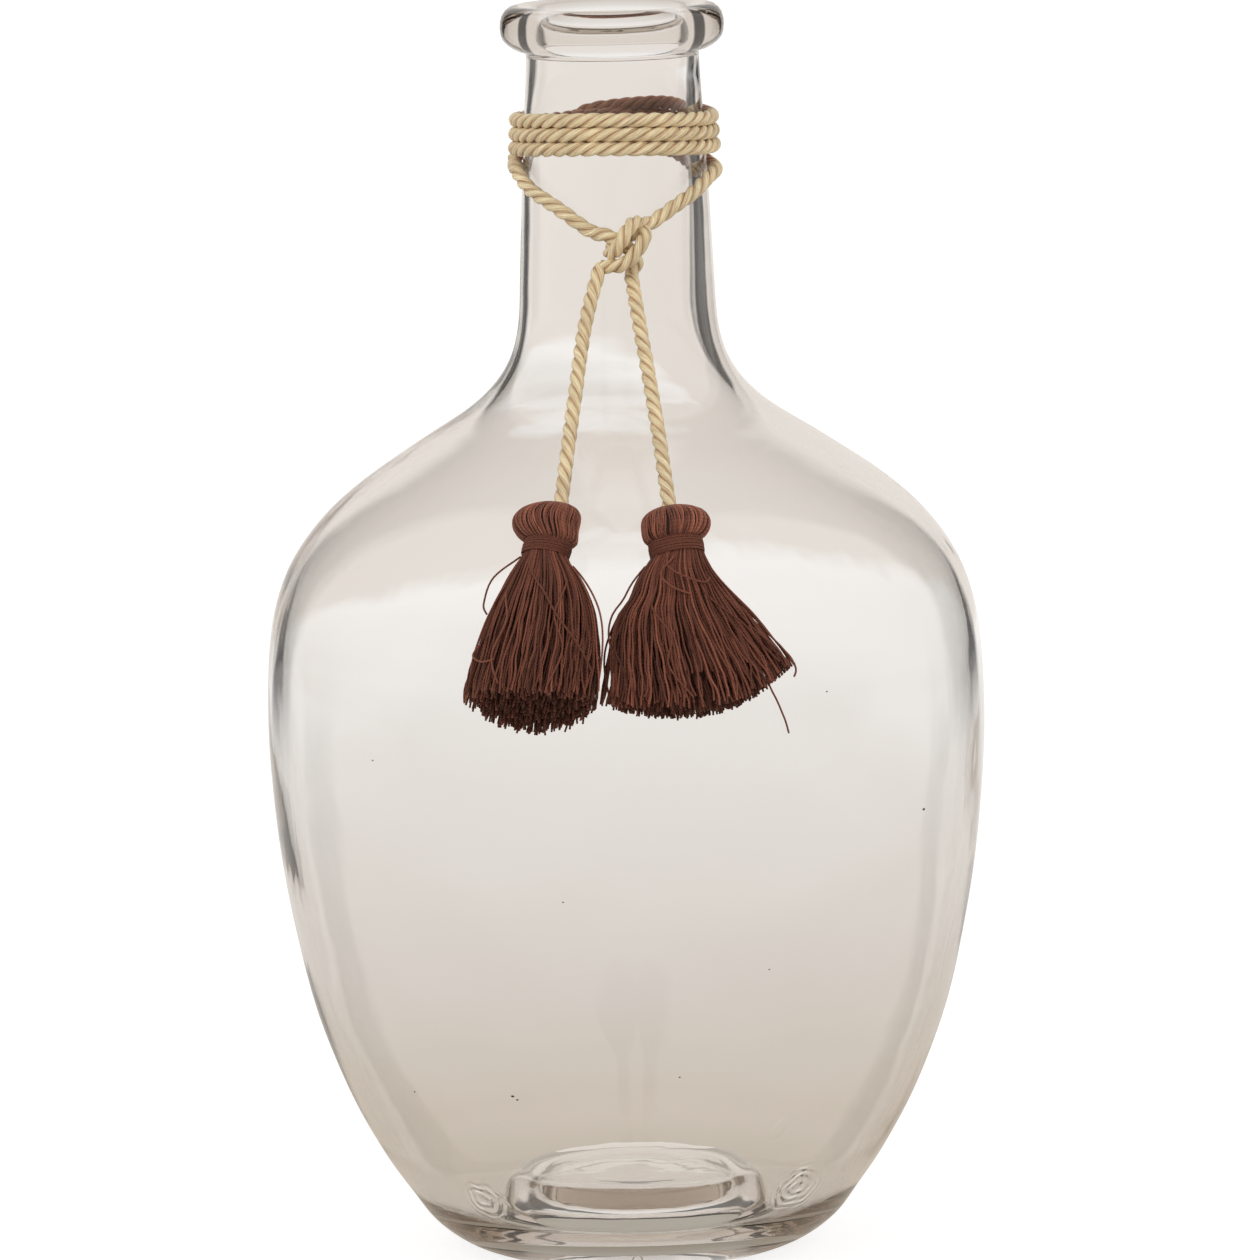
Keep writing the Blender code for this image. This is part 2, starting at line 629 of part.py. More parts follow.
def main():
    """Makes the bottle, its cord and its two tassels."""
    remove_all()
    glass = material("clear_warm_grey_glass", (0.86, 0.82, 0.78), 0.02, transmission=1.0)
    cord = material("straw_gold_cord", (0.68, 0.51, 0.27), 0.5)
    yarn = material("chocolate_cotton", (0.13, 0.045, 0.032), 0.85)

    turned("glass_bottle", glass_outline(), GLASS_SEGMENTS, glass)

    neck_axis = pivot("neck_axis", (0, 0, FIRST_TURN_HEIGHT))
    winding = winding_route()
    print("least gap of the winding to itself, m:", round(least_self_gap(winding), 6))
    winding = straight_ends(winding, LEFT_SPAN_ROUTE[0], RIGHT_SPAN_ROUTE[0])
    place(cord_curve("neck_winding", winding, 1), cord, neck_axis)
    left_span = carried_on(winding[::-1], LEFT_SPAN_ROUTE)
    right_span = carried_on(winding, RIGHT_SPAN_ROUTE)
    place(cord_curve("left_front_span", left_span, 2), cord, neck_axis)
    place(cord_curve("right_front_span", right_span, 2), cord, neck_axis)
    falling = strand_route(left_span, FALLING_STRAND_ROUTE)
    looping = strand_route(right_span, LOOPING_STRAND_ROUTE)
    front_knot(falling, looping, cord, neck_axis)

    left = {
        "hand": "left", "strand": looping, "tail": LEFT_TAIL_ROUTE,
        "waist_aim": LEFT_WAIST_AIM, "hem": LEFT_HEM,
        "head_radius": LEFT_HEAD_RADIUS, "head_shift": LEFT_HEAD_SHIFT,
        "waist_radius": LEFT_WAIST_RADIUS, "hem_half_width": LEFT_HEM_HALF_WIDTH,
        "hem_half_depth": LEFT_HEM_HALF_DEPTH, "hem_rises": LEFT_HEM_RISES,
        "head_length": LEFT_HEAD_LENGTH, "skirt_shares": LEFT_SKIRT_SHARES,
    }
    right = {
        "hand": "right", "strand": falling, "tail": RIGHT_TAIL_ROUTE,
        "waist_aim": RIGHT_WAIST_AIM, "hem": RIGHT_HEM,
        "head_radius": RIGHT_HEAD_RADIUS, "head_shift": RIGHT_HEAD_SHIFT,
        "waist_radius": RIGHT_WAIST_RADIUS, "hem_half_width": RIGHT_HEM_HALF_WIDTH,
        "hem_half_depth": RIGHT_HEM_HALF_DEPTH, "hem_rises": RIGHT_HEM_RISES,
        "head_length": RIGHT_HEAD_LENGTH, "skirt_shares": RIGHT_SKIRT_SHARES,
    }
    for side in (left, right):
        hand = side["hand"]
        joint_reach = CORD_DIAMETER / 2 + SEAT_GAP
        tail = [tuple(past_end(side["strand"], joint_reach))] + list(side["tail"])
        side["top"] = past_end(tail, joint_reach)
        line = (Vector(side["waist_aim"]) - side["top"]).normalized()
        side["waist"] = side["top"] + line * (STEM_LENGTH + side["head_length"] + BINDING_WIDTH / 2)
        swing = pivot(hand + "_swing", tail[0], neck_axis)
        place(cord_curve(hand + "_tail", tail, 2, round_start=3), cord, swing)
        lift = pivot(hand + "_lift", side["top"], swing)
        tail_knot(hand + "_tail_knot", side, cord, lift)
        tassel_yarn(hand + "_tassel_yarn", side, yarn, lift)
        tassel_binding(hand + "_tassel_binding", side, yarn, lift)


main()
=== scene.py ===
"""Looks of a blown-glass demijohn with a twisted cord round its neck and two cotton tassels.

The glass, the cord's lay and the yarns are made with Geometry Nodes from sizes that are set in
the sidebar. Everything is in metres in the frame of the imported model.
"""
import json
import math
import random

import bmesh
import bpy
from mathutils import Matrix, Vector


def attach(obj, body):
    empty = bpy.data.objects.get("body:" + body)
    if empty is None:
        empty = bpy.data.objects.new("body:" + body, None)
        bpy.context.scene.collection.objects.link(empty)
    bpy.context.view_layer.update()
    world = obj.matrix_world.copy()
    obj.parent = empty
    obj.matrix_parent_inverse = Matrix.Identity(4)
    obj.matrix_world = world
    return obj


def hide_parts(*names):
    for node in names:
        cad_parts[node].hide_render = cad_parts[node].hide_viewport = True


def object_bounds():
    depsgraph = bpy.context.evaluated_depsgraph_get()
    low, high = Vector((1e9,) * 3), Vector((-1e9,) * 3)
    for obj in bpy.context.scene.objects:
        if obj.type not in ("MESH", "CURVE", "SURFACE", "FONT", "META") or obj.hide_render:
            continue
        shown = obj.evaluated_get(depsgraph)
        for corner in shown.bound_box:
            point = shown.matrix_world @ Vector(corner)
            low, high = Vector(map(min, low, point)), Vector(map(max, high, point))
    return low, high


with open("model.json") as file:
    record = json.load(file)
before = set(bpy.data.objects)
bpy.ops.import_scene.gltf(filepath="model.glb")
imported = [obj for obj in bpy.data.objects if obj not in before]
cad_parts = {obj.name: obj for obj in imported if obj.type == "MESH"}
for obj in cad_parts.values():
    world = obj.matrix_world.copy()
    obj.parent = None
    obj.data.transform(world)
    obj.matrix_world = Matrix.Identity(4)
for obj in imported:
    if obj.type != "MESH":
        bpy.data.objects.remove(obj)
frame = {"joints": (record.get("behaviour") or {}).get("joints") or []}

bl_info = {
    "name": "Tasselled Demijohn",
    "version": (1, 0, 0),
    "blender": (4, 5, 0),
    "location": "3D View > Sidebar > Demijohn",
    "description": "Makes a blown-glass demijohn with a laid cord and cotton tassels",
    "category": "Add Mesh",
}

CAD_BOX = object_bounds()
JOINTS = {joint["name"]: joint for joint in frame["joints"]}
HANDS = ("left", "right")
CURVE_STEPS = 6

# The glass. Each table has rows of height and reach, in shares of the stretch it is for
# Lower body, from the resting ring to the belly
LOWER_BODY_SHARES = (
    (0.022, 0.145), (0.060, 0.275), (0.112, 0.375), (0.185, 0.503), (0.296, 0.655),
    (0.444, 0.799), (0.593, 0.891), (0.741, 0.954), (0.889, 0.990),
)
# Shoulder, from the belly to the neck's foot: 1 is the belly's radius
SHOULDER_SHARES = (
    (0.155, 0.991), (0.278, 0.962), (0.392, 0.895), (0.495, 0.783), (0.577, 0.648),
    (0.649, 0.496), (0.711, 0.353), (0.773, 0.208), (0.835, 0.105), (0.907, 0.035),
)
# Neck, from its foot to the collar: 1 is the radius of the foot
NECK_SHARES = ((0.198, 0.79), (0.456, 0.57), (0.730, 0.29))
# Collar, from its underside to its crest: 1 is its widest radius
COLLAR_SHARES = (
    (0.06, 0.20), (0.18, 0.62), (0.34, 0.92), (0.55, 1.00), (0.76, 0.95), (0.90, 0.80),
    (0.975, 0.60),
)
# Lip, down from the crest: how far it has turned in to the mouth
LIP_SHARES = ((0.995, 0.42), (0.975, 0.76), (0.93, 0.95), (0.86, 1.00))
# Throat, down from the mouth: how far the bore has opened from the neck to the mouth
THROAT_SHARES = ((0.62, 0.92), (0.38, 0.70), (0.12, 0.40), (-0.12, 0.15), (-0.32, 0.03))
# How far below the collar the throat begins, in shares of the collar's height
THROAT_FOOT_SHARE = 0.46
# Inner corner of the heel, from the floor's edge to the wall
HEEL_SHARES = ((0.14, 0.40), (0.42, 0.66))
# Floor, from its edge to its middle
FLOOR_SHARES = ((0.05, 0.92), (0.28, 0.85), (0.72, 0.78), (0.95, 0.69), (1.0, 0.44))
# Punt under the base, from the resting ring to its middle
PUNT_SHARES = ((0.22, 0.97), (0.74, 0.90), (0.95, 0.80), (1.0, 0.50))
# Steps to a span of the outline's curve, and the stride between the wall's points that the
# inside is drawn through
OUTLINE_STEPS = 8
WALL_SKIP = 4
FAIRING_PASSES = 60
FAIRING_FACTORS = (0.45, -0.46)
COLLAR_FILLET = 0.004
NECK_THIN_DROP = 0.012
BORE_FOOT_DROP = 0.034
# Where the unevenness and the bore's shift fade out: from the axis, the floor and the bore's ends
AXIS_FADE = 0.02
FOOT_FADE = 0.008
BORE_FOOT_FADE = 0.03
BORE_TOP_FADE = 0.02
GLASS_SEED = 3.0

# The cord's free stretches and its knot, point by point
LEFT_SPAN_ROUTE = (
    (-0.0242, -0.0066, 0.2702), (-0.0226, -0.0109, 0.2678), (-0.0206, -0.0143, 0.2658),
    (-0.0184, -0.0171, 0.2644), (-0.0152, -0.0201, 0.2625), (-0.0120, -0.0223, 0.2604),
    (-0.0088, -0.0239, 0.2581), (-0.0056, -0.0252, 0.2562),
)
RIGHT_SPAN_ROUTE = (
    (0.0242, -0.0066, 0.2686), (0.0226, -0.0109, 0.2676), (0.0209, -0.0139, 0.2660),
    (0.0183, -0.0172, 0.2641), (0.0150, -0.0202, 0.2622), (0.0117, -0.0223, 0.2601),
    (0.0082, -0.0243, 0.2581),
)
FALLING_STRAND_ROUTE = (
    (-0.0024, -0.0272, 0.2556), (0.0010, -0.0290, 0.2541), (0.0038, -0.0292, 0.2516),
    (0.0048, -0.0291, 0.2494), (0.0042, -0.0287, 0.2475),
)
LOOPING_STRAND_ROUTE = (
    (0.0058, -0.0268, 0.2585), (0.0042, -0.0299, 0.2588), (0.0028, -0.0322, 0.2574),
    (0.0014, -0.0329, 0.2550), (0.0000, -0.0319, 0.2526), (-0.0014, -0.0293, 0.2513),
    (-0.0014, -0.0267, 0.2521), (0.0006, -0.0256, 0.2537), (0.0036, -0.0258, 0.2556),
    (0.0064, -0.0277, 0.2565), (0.0069, -0.0303, 0.2553), (0.0056, -0.0323, 0.2532),
    (0.0038, -0.0328, 0.2508), (0.0016, -0.0322, 0.2490), (-0.0012, -0.0309, 0.2484),
)
# Each end from the knot to its tassel, and where its twist starts, in turns
TAILS = {
    "left": ((
        (-0.0062, -0.0352, 0.2419), (-0.0081, -0.0411, 0.2350), (-0.0094, -0.0472, 0.2282),
        (-0.0105, -0.0534, 0.2214), (-0.0117, -0.0597, 0.2144), (-0.0129, -0.0661, 0.2073),
        (-0.0142, -0.0728, 0.1987),
    ), 0.1),
    "right": ((
        (0.0044, -0.0353, 0.2397), (0.0055, -0.0413, 0.2330), (0.0067, -0.0475, 0.2263),
        (0.0078, -0.0539, 0.2196), (0.0089, -0.0605, 0.2129), (0.0099, -0.0673, 0.2060),
        (0.0110, -0.0744, 0.1978),
    ), 0.45),
}
TAIL_END_RUN = 0.0026
ROUTE_SPACING = 0.0004
SEAT_GAP = 0.0001
# Where the cord crosses behind the neck, in shares of a turn from the front by the left: it dips
# below the turns, climbs over them to the top, and has run into the first turn
STEPS_A_TURN = 24
DIP_SHARE = 7 / 24
TOP_SHARE = 11.6 / 24
MERGED_SHARE = 16 / 24
ON_SHARES = (6.6 / 24, 8 / 24)
OFF_SHARES = (11 / 24, 13.5 / 24)
DROP_SHARE = 1 / 6

# Distance along a tassel's head, and how far out its side is there
HEAD_SHARES = (
    (0.00, 0.04), (0.02, 0.30), (0.11, 0.63), (0.26, 0.89), (0.48, 1.00), (0.74, 0.98),
    (0.92, 0.84), (1.00, 0.62),
)
HEAD_BORE = 0.0019
HEAD_YARN_SHARE = 0.79
# The head's yarns: how they swing round it and vary, and how they fold in over the cord's end
HEAD_SWING = 0.16
HEAD_SHIFT_SWING = 60
HEAD_VARIES = (-0.00012, 0.00010)
FOLD_DROP = 0.0012
FOLD_SHARE = 0.25
# The binding: its pitch in shares of its yarn, its steps to a turn, and its way round the waist
BINDING_PITCH = 0.80
BINDING_STEPS = 24
BINDING_START = 1.1
BINDING_REACH = 0.00042
BINDING_SWELL = 0.0002
BINDING_WANDER = 0.00010
BINDING_VARIES = 0.00004
# The filling: how far it stays inside the yarns, its rings along the skirt, and their depth
FILLING_INSET_SHARE = 0.85
FILLING_RINGS = (0.0, 0.15, 0.3, 0.45, 0.6, 0.75, 0.86)
FILLING_DEPTHS = (0.80, 0.60)
BEND_SHARE = 0.25
SKIRT_GAP_SHARE = 1.5
# A skirt's shares: distance along it, how far it has spread, how far its middle lies to the right.
# Its rises: how much its left and right sides are cut short
TASSELS = {
    "left": {
        "waist_aim": (-0.0183, -0.0803, 0.1855), "hem": (-0.0229, -0.0981, 0.1497),
        "head_length": 0.0095, "head_radius": 0.0081, "head_shift": -0.0020,
        "waist_radius": 0.0052, "half_width": 0.0161, "half_depth": 0.0124,
        "rises": (0.0028, 0.0028), "rise_power": 3, "front_rise": 0.0014, "short_front": False,
        "shares": (
            (0.00, 0.00, 0), (0.05, 0.13, 0.02), (0.12, 0.30, 0.05), (0.23, 0.50, 0.08),
            (0.37, 0.70, 0.09), (0.54, 0.84, 0.08), (0.76, 0.95, 0.04), (1.00, 1.00, 0),
            (1.20, 1.02, -0.02),
        ),
    },
    "right": {
        "waist_aim": (0.0128, -0.0810, 0.1859), "hem": (0.0176, -0.0957, 0.1492),
        "head_length": 0.0082, "head_radius": 0.0084, "head_shift": 0.0008,
        "waist_radius": 0.0060, "half_width": 0.0232, "half_depth": 0.0086,
        "rises": (0.0040, 0.0085), "rise_power": 1.3, "front_rise": -0.0005, "short_front": True,
        "shares": (
            (0.00, 0.00, 0), (0.05, 0.075, -0.03), (0.146, 0.185, -0.063), (0.27, 0.32, -0.067),
            (0.39, 0.50, -0.090), (0.585, 0.70, -0.060), (0.90, 0.93, 0.005), (1.00, 1.00, 0.01),
            (1.20, 1.10, 0.01),
        ),
    },
}
# How the yarns of a skirt lie outside and within: locks round it, splay, roughness, extra length
OUTSIDE_DEPTH = 0.8
OUTSIDE = {"locks": 17, "splay": (-0.05, 0.03), "rough": 0.028, "extra": 0}
WITHIN = {"locks": 13, "splay": (-0.30, 0.22), "rough": 0.06, "extra": 0.02}
# Yarns that lie with the others, and the share that strays over them
LYING = {"sway": (-0.10, 0.10), "billow": 0.028}
STRAYING = {"sway": (-0.38, 0.38), "billow": 0.05}
STRAY_SHARE = 0.28
# Cut ends: the run of skirt that their rag is a share of, the share cut short, and by how much
RAG_RUN = 0.038
CUT_LIMITS = (0.90, 1.025)
SHORT_SHARE = 0.07
SHORT_CUTS = (0.05, 0.22)
# Front yarns of a skirt that is short in front: where round it, what share, and by how much
FRONT_ANGLES = (1.25, 1.85)
FRONT_SHARE = 0.75
FRONT_CUTS = (0.17, 0.23)
SEED_STEP = 20
# How closely the outer yarns of a skirt lie. Then the layers: share of the skirt's reach, share
# of the outer yarns' number, and where along the skirt they start
OUTER_YARNS_SHARE = 0.90
SKIRT_LAYERS = ((1.0, 1.0, -0.06), (0.93, 0.8, -0.06), (0.85, 0.85, 0.25))
BRUSH_LAYERS = (
    (0.74, 0.8, 0.5), (0.62, 0.68, 0.62), (0.50, 0.55, 0.68), (0.38, 0.42, 0.72),
    (0.26, 0.30, 0.74), (0.13, 0.15, 0.74),
)
# Loose threads: distance along the skirt, angle round it from its right side, share of its reach
STRAYS = {
    "left": (
        ((0.02, 2.8, 1.05), (0.16, 2.95, 1.35), (0.32, 3.05, 1.22), (0.42, 2.8, 1.04)),
        ((0.12, 1.9, 1.03), (0.30, 1.45, 1.07), (0.48, 1.15, 1.08), (0.66, 0.75, 1.06),
         (0.84, 0.35, 1.03)),
        ((0.66, 2.55, 1.03), (0.74, 2.50, 1.10), (0.80, 2.25, 1.09), (0.78, 2.05, 1.03)),
        ((0.05, 0.10, 1.03), (0.25, 0.15, 1.10), (0.50, 0.10, 1.08), (0.86, 0.05, 1.02)),
        ((0.30, 2.3, 1.02), (0.50, 2.0, 1.06), (0.75, 2.1, 1.05), (0.95, 1.9, 1.02)),
        ((0.20, 0.9, 1.02), (0.45, 1.2, 1.05), (0.70, 1.0, 1.05), (0.97, 1.15, 1.02)),
    ),
    "right": (
        ((0.03, 1.95, 1.05), (0.10, 1.85, 1.16), (0.18, 1.5, 1.20), (0.24, 1.1, 1.16),
         (0.21, 0.8, 1.06)),
        ((0.04, 1.75, 1.05), (0.14, 2.00, 1.12), (0.24, 1.75, 1.12), (0.30, 1.40, 1.04)),
        ((0.05, 3.0, 1.04), (0.22, 3.05, 1.14), (0.45, 3.05, 1.08), (0.62, 2.9, 1.02)),
        ((0.30, 1.1, 1.03), (0.55, 0.8, 1.07), (0.75, 0.7, 1.06), (0.93, 0.55, 1.03)),
        ((0.80, 0.25, 1.02), (0.95, 0.2, 1.03), (1.06, 0.15, 1.02), (1.10, 0.3, 1.0)),
        ((0.35, 2.1, 1.02), (0.55, 1.8, 1.06), (0.75, 1.9, 1.05), (0.96, 1.7, 1.02)),
        ((0.40, 2.6, 1.02), (0.60, 2.7, 1.06), (0.80, 2.5, 1.05), (1.00, 2.55, 1.02)),
    ),
}
# The one thread that hangs below the right skirt
HANGING_THREAD = (
    (0.0315, -0.0858, 0.1610), (0.0331, -0.0851, 0.1565), (0.0347, -0.0841, 0.1519),
    (0.0361, -0.0832, 0.1489), (0.0373, -0.0824, 0.1458), (0.0382, -0.0818, 0.1433),
    (0.0389, -0.0814, 0.1405),
)
# The small knot on the cord's end, inside the head
END_KNOT_SCALE = 0.62
END_KNOT_TURNS = 1.75
END_KNOT_STEPS = 48
END_KNOT_RADIUS = 0.0013
END_KNOT_RISE = 0.0016
END_KNOT_DROP = 0.002

# Fibres of the cord: their slope along a strand, the noise's size round and along it, its step
# from strand to strand, and the plies round it
FIBRE_SLOPE = 420.0
FIBRES_ROUND = 3.2
FIBRES_ALONG = 90.0
STRAND_STEP = 3.7
PLIES = 9.0
# Twist of a cotton yarn, along and round it
TWIST_ALONG = 7000.0
TWIST_ROUND = 2.6

# Wrinkles from the mould: middle and reach
RIPPLES = (
    ((-0.0385, -0.0490, 0.0190), 0.0085), ((0.0415, -0.0480, 0.0205), 0.0100),
    ((0.0360, -0.0640, 0.0385), 0.0045),
)
RIPPLE_WIDTH = 0.0019
# Seeds in the glass: place across and up, and radius
SEEDS = (
    (-0.0292, 0.0508, 0.00030), (-0.0281, 0.0499, 0.00022), (0.0712, 0.1160, 0.00034),
    (-0.0530, 0.0490, 0.00020), (0.0110, 0.0560, 0.00018), (0.0330, 0.0820, 0.00016),
    (-0.0160, 0.1010, 0.00016), (0.0480, 0.1490, 0.00018), (-0.0610, 0.1330, 0.00018),
)

# Painted shadow of the bottle in the floor's glow as the glass shows it: tones by distance from
# the axis in shares of FADE_REACH, darkest under the resting ring
FADE_REACH = 2.4
FLOOR_SHADOW_TONES = (
    (0.0125, (0.42, 0.39, 0.33)), (0.0135, (0.16, 0.13, 0.10)), (0.0150, (0.16, 0.13, 0.10)),
    (0.0165, (0.56, 0.50, 0.42)), (0.070, (0.645, 0.58, 0.50)), (0.125, (0.71, 0.66, 0.61)),
    (0.225, (0.80, 0.77, 0.73)), (0.46, (0.955, 0.94, 0.925)), (0.57, (1.0, 0.985, 0.97)),
    (0.68, (0.86, 0.815, 0.765)), (0.85, (0.86, 0.815, 0.765)),
)
# Tones of the room by height, from straight down to straight up
ROOM_TONES = (
    (0.50, (0.86, 0.815, 0.765)), (0.64, (0.88, 0.84, 0.80)), (0.72, (0.98, 0.98, 0.98)),
    (0.86, (1.0, 1.0, 1.0)), (0.90, (0.80, 0.80, 0.80)),
)
# Edges of the two dark gaps of the room, in degrees from the camera's side
GAP_EDGES = (-157, -153, -136, -132, 125, 129, 152, 156)
# Painted light patch on the floor's glow, in front of and behind the base: half its width, how far
# it reaches from the axis, and the ring it stays outside
PATCH_EDGES = (0.034, 0.022)
PATCH_DISTANCES = (0.074, 0.058)
PATCH_START = 0.0362
FLOOR_REACH = 6.0
# Soft lamps: place and share of the power
LAMPS = (("left_lamp", (-1.6, -1.5, 1.9), 1.15), ("right_lamp", (1.7, -1.2, 1.6), 0.75))
LAMP_SIZE = 1.8
LAMP_AIM = (0, 0, 0.17)


# Sizes that a user can change

def length(name, description, default):
    return bpy.props.FloatProperty(
        name=name, description=description, default=default, unit="LENGTH",
    )


def colour_of(name, description, default):
    return bpy.props.FloatVectorProperty(
        name=name, description=description, default=default, subtype="COLOR", min=0, max=1,
    )


def number(name, description, default, kind=bpy.props.FloatProperty, **more):
    return kind(name=name, description=description, default=default, **more)


class GlassSizes(bpy.types.PropertyGroup):
    """Sizes of the blown glass."""

    height: length("Height", "From the resting ring to the top of the lip", CAD_BOX[1][2])
    ring_inner_radius: length("Ring inner radius", "Inside of the ring it stands on", 0.030)
    ring_outer_radius: length("Ring outer radius", "Outside of the ring it stands on", 0.0365)
    belly_radius: length("Belly radius", "Radius at the widest place", 0.089)
    belly_height: length("Belly height", "Height of the widest place", 0.135)
    neck_foot_radius: length(
        "Neck foot radius", "Radius where the shoulder becomes the neck", 0.0246)
    neck_foot_height: length(
        "Neck foot height", "Height where the shoulder becomes the neck", 0.232)
    neck_top_radius: length("Neck top radius", "Radius of the neck under its collar", 0.0213)
    collar_height: length("Collar height", "Height of the rolled collar", 0.0122)
    collar_radius: length("Collar radius", "Radius of the rolled collar", 0.0276)
    crest_radius: length("Crest radius", "Radius of the highest line of the lip", 0.0236)
    mouth_radius: length("Mouth radius", "Radius of the opening", 0.0189)
    wall: length("Wall", "Thickness of the glass", 0.0034)
    neck_wall: length("Neck wall", "Thickness of the glass at the top of the neck", 0.0026)
    punt_depth: length("Punt depth", "How far the base is pushed up", 0.0140)
    floor_radius: length("Floor radius", "Radius of the floor inside", 0.040)
    floor_height: length("Floor height", "Height of the floor inside, at its edge", 0.0088)
    floor_rise: length("Floor rise", "How much higher the floor's middle is", 0.0110)
    heel_top: length("Heel top", "Height where the thick heel has thinned to the wall", 0.025)
    segments: number("Segments", "Faces round the glass", 128, bpy.props.IntProperty, min=24)
    spacing: length("Ring spacing", "Distance between rings of the surface", 0.0015)
    outer_wave: length("Outer wave", "Unevenness of the outside", 0.00016)
    inner_wave: length("Inner wave", "Unevenness of the inside", 0.00045)
    wave_size: length("Wave size", "Width of the uneven places", 0.045)
    bore_shift: length("Bore shift", "How far the neck's bore lies to the left", 0.0010)
    tint: colour_of("Tint", "Colour that a thickness of glass lets through", (0.60, 0.517, 0.433))
    tint_density: number("Tint density", "How quickly the glass takes on its tint", 30)


class CordSizes(bpy.types.PropertyGroup):
    """Sizes of the twisted cord."""

    diameter: length("Diameter", "Across the laid cord", 0.0037)
    seat: length("Seat", "From the glass to the cord's middle", 0.00185)
    strand_diameter: length("Strand diameter", "Across one of the three strands", 0.00196)
    lay_length: length("Lay length", "Cord used by one full twist", 0.0116)
    turn_pitch: length("Turn pitch", "Rise from one turn round the neck to the next", 0.0035)
    first_turn_height: length("First turn height", "Height of the top turn in front", 0.2835)
    left_edge_height: length(
        "Left edge height", "Height where the cord leaves for the knot", 0.2706)
    right_edge_height: length("Right edge height", "Height where the last turn ends", 0.2688)
    crossing_low_height: length(
        "Crossing low height", "Lowest place of the crossing behind", 0.2700)
    crossing_top_height: length(
        "Crossing top height", "Highest place of the crossing behind", 0.2826)
    winding_tilt: length("Winding tilt", "How much lower the turns are behind", 0.0012)
    side_drop: length("Side drop", "How much lower the turns are at the neck's sides", 0.0010)
    winding_lean: length("Winding lean", "How much higher the turns are on the left", 0.00085)
    crossing_lift: length("Crossing lift", "How far out the cord crosses over its turns", 0.00365)
    colour: colour_of("Colour", "Colour of the cord's silky yarn", (0.97, 0.760, 0.478))
    # Painted shade: the tint that darkens the cord's inner side behind the neck
    painted_shade_tint: colour_of(
        "Shaded tint", "Tint of the cord where it lies on the glass behind", (0.50, 0.245, 0.19))
    # Painted shade: the colour in the grooves between the strands
    painted_groove_shade: colour_of("Groove colour", "Colour between the strands", (0.24, 0.125, 0.040))


class TasselSizes(bpy.types.PropertyGroup):
    """Sizes of the cotton tassels."""

    yarn_diameter: length("Yarn", "Across one yarn of the skirt", 0.00051)
    binding_diameter: length("Binding yarn", "Across the yarn that binds the waist", 0.00028)
    binding_width: length("Binding width", "Height of the bound waist", 0.0040)
    stem: length("Stem", "Cord that shows above the head", 0.0020)
    head_yarns: number(
        "Head yarns", "Yarns that show on a head", 168, bpy.props.IntProperty, min=12)
    rag: length("Rag", "How unevenly the yarns are cut", 0.0009)
    seed: number("Seed", "Start of the random choices", 7, bpy.props.IntProperty)
    colour: colour_of("Colour", "Colour of the cotton", (0.188, 0.063, 0.038))


class StageSizes(bpy.types.PropertyGroup):
    """Camera and light."""

    distance: length("Camera distance", "From the camera to its target", 2.300)
    elevation: number(
        "Camera elevation", "How far the camera looks down", math.radians(8.4), subtype="ANGLE")
    roll: number("Camera roll", "How far the camera leans", math.radians(1.2), subtype="ANGLE")
    lens: number("Lens", "Focal length on a 36 mm sensor", 264.6)
    target_height: length("Target height", "Height that the camera looks at", 0.1543)
    sideways: length("Sideways", "How far the camera stands to the right", 0.00134)
    bounces: number(
        "Bounces", "How often light is followed through the glass", 32, bpy.props.IntProperty)
    fill_level: number("Fill level", "Brightness of the light from all round", 0.62)
    lamp_power: number("Lamp power", "Power of each soft lamp", 13, subtype="POWER")


# Curves and interpolation

def between(low, high, share):
    return low + (high - low) * share


def eased(start, end, value):
    """0 before the start, 1 past the end, and a smooth rise from one to the other."""
    share = min(max((value - start) / (end - start), 0), 1)
    return share * share * (3 - 2 * share)


def smooth(points, steps=CURVE_STEPS):
    """Points on a Catmull-Rom curve through the given ones, with this many steps to each span."""
    ends = [points[0], *points, points[-1]]
    curve = []
    for near in zip(ends, ends[1:], ends[2:], ends[3:]):
        for step in range(steps):
            t = step / steps
            weights = (
                -t + 2 * t**2 - t**3, 2 - 5 * t**2 + 3 * t**3, t + 4 * t**2 - 3 * t**3,
                -(t**2) + t**3,
            )
            curve.append(tuple(
                sum(w * p[i] for w, p in zip(weights, near)) / 2 for i in range(len(near[0]))
            ))
    return curve + [tuple(points[-1])]


def length_of(points):
    return sum(math.dist(a, b) for a, b in zip(points, points[1:]))


def evened(points, spacing):
    """The same line with points at an even spacing."""
    total = length_of(points)
    count = max(2, round(total / spacing))
    spots = [points[0]]
    run = 0.0
    for a, b in zip(points, points[1:]):
        step = math.dist(a, b)
        while len(spots) < count and run + step >= total * len(spots) / count:
            share = (total * len(spots) / count - run) / step
            spots.append(tuple(between(p, q, share) for p, q in zip(a, b)))
        run += step
    return spots + [points[-1]]


def looked_up(table, at):
    """The row of a table at a share, read from straight lines between its rows."""
    for low, high in zip(table, table[1:]):
        if at <= high[0] or high is table[-1]:
            share = (at - low[0]) / (high[0] - low[0])
            return [between(a, b, share) for a, b in zip(low, high)]


# The glass's section

def spread(shares, radii, heights):
    """(radius, height) for rows of (share of the height, share of the radius)."""
    return [(between(*radii, out), between(*heights, up)) for up, out in shares]


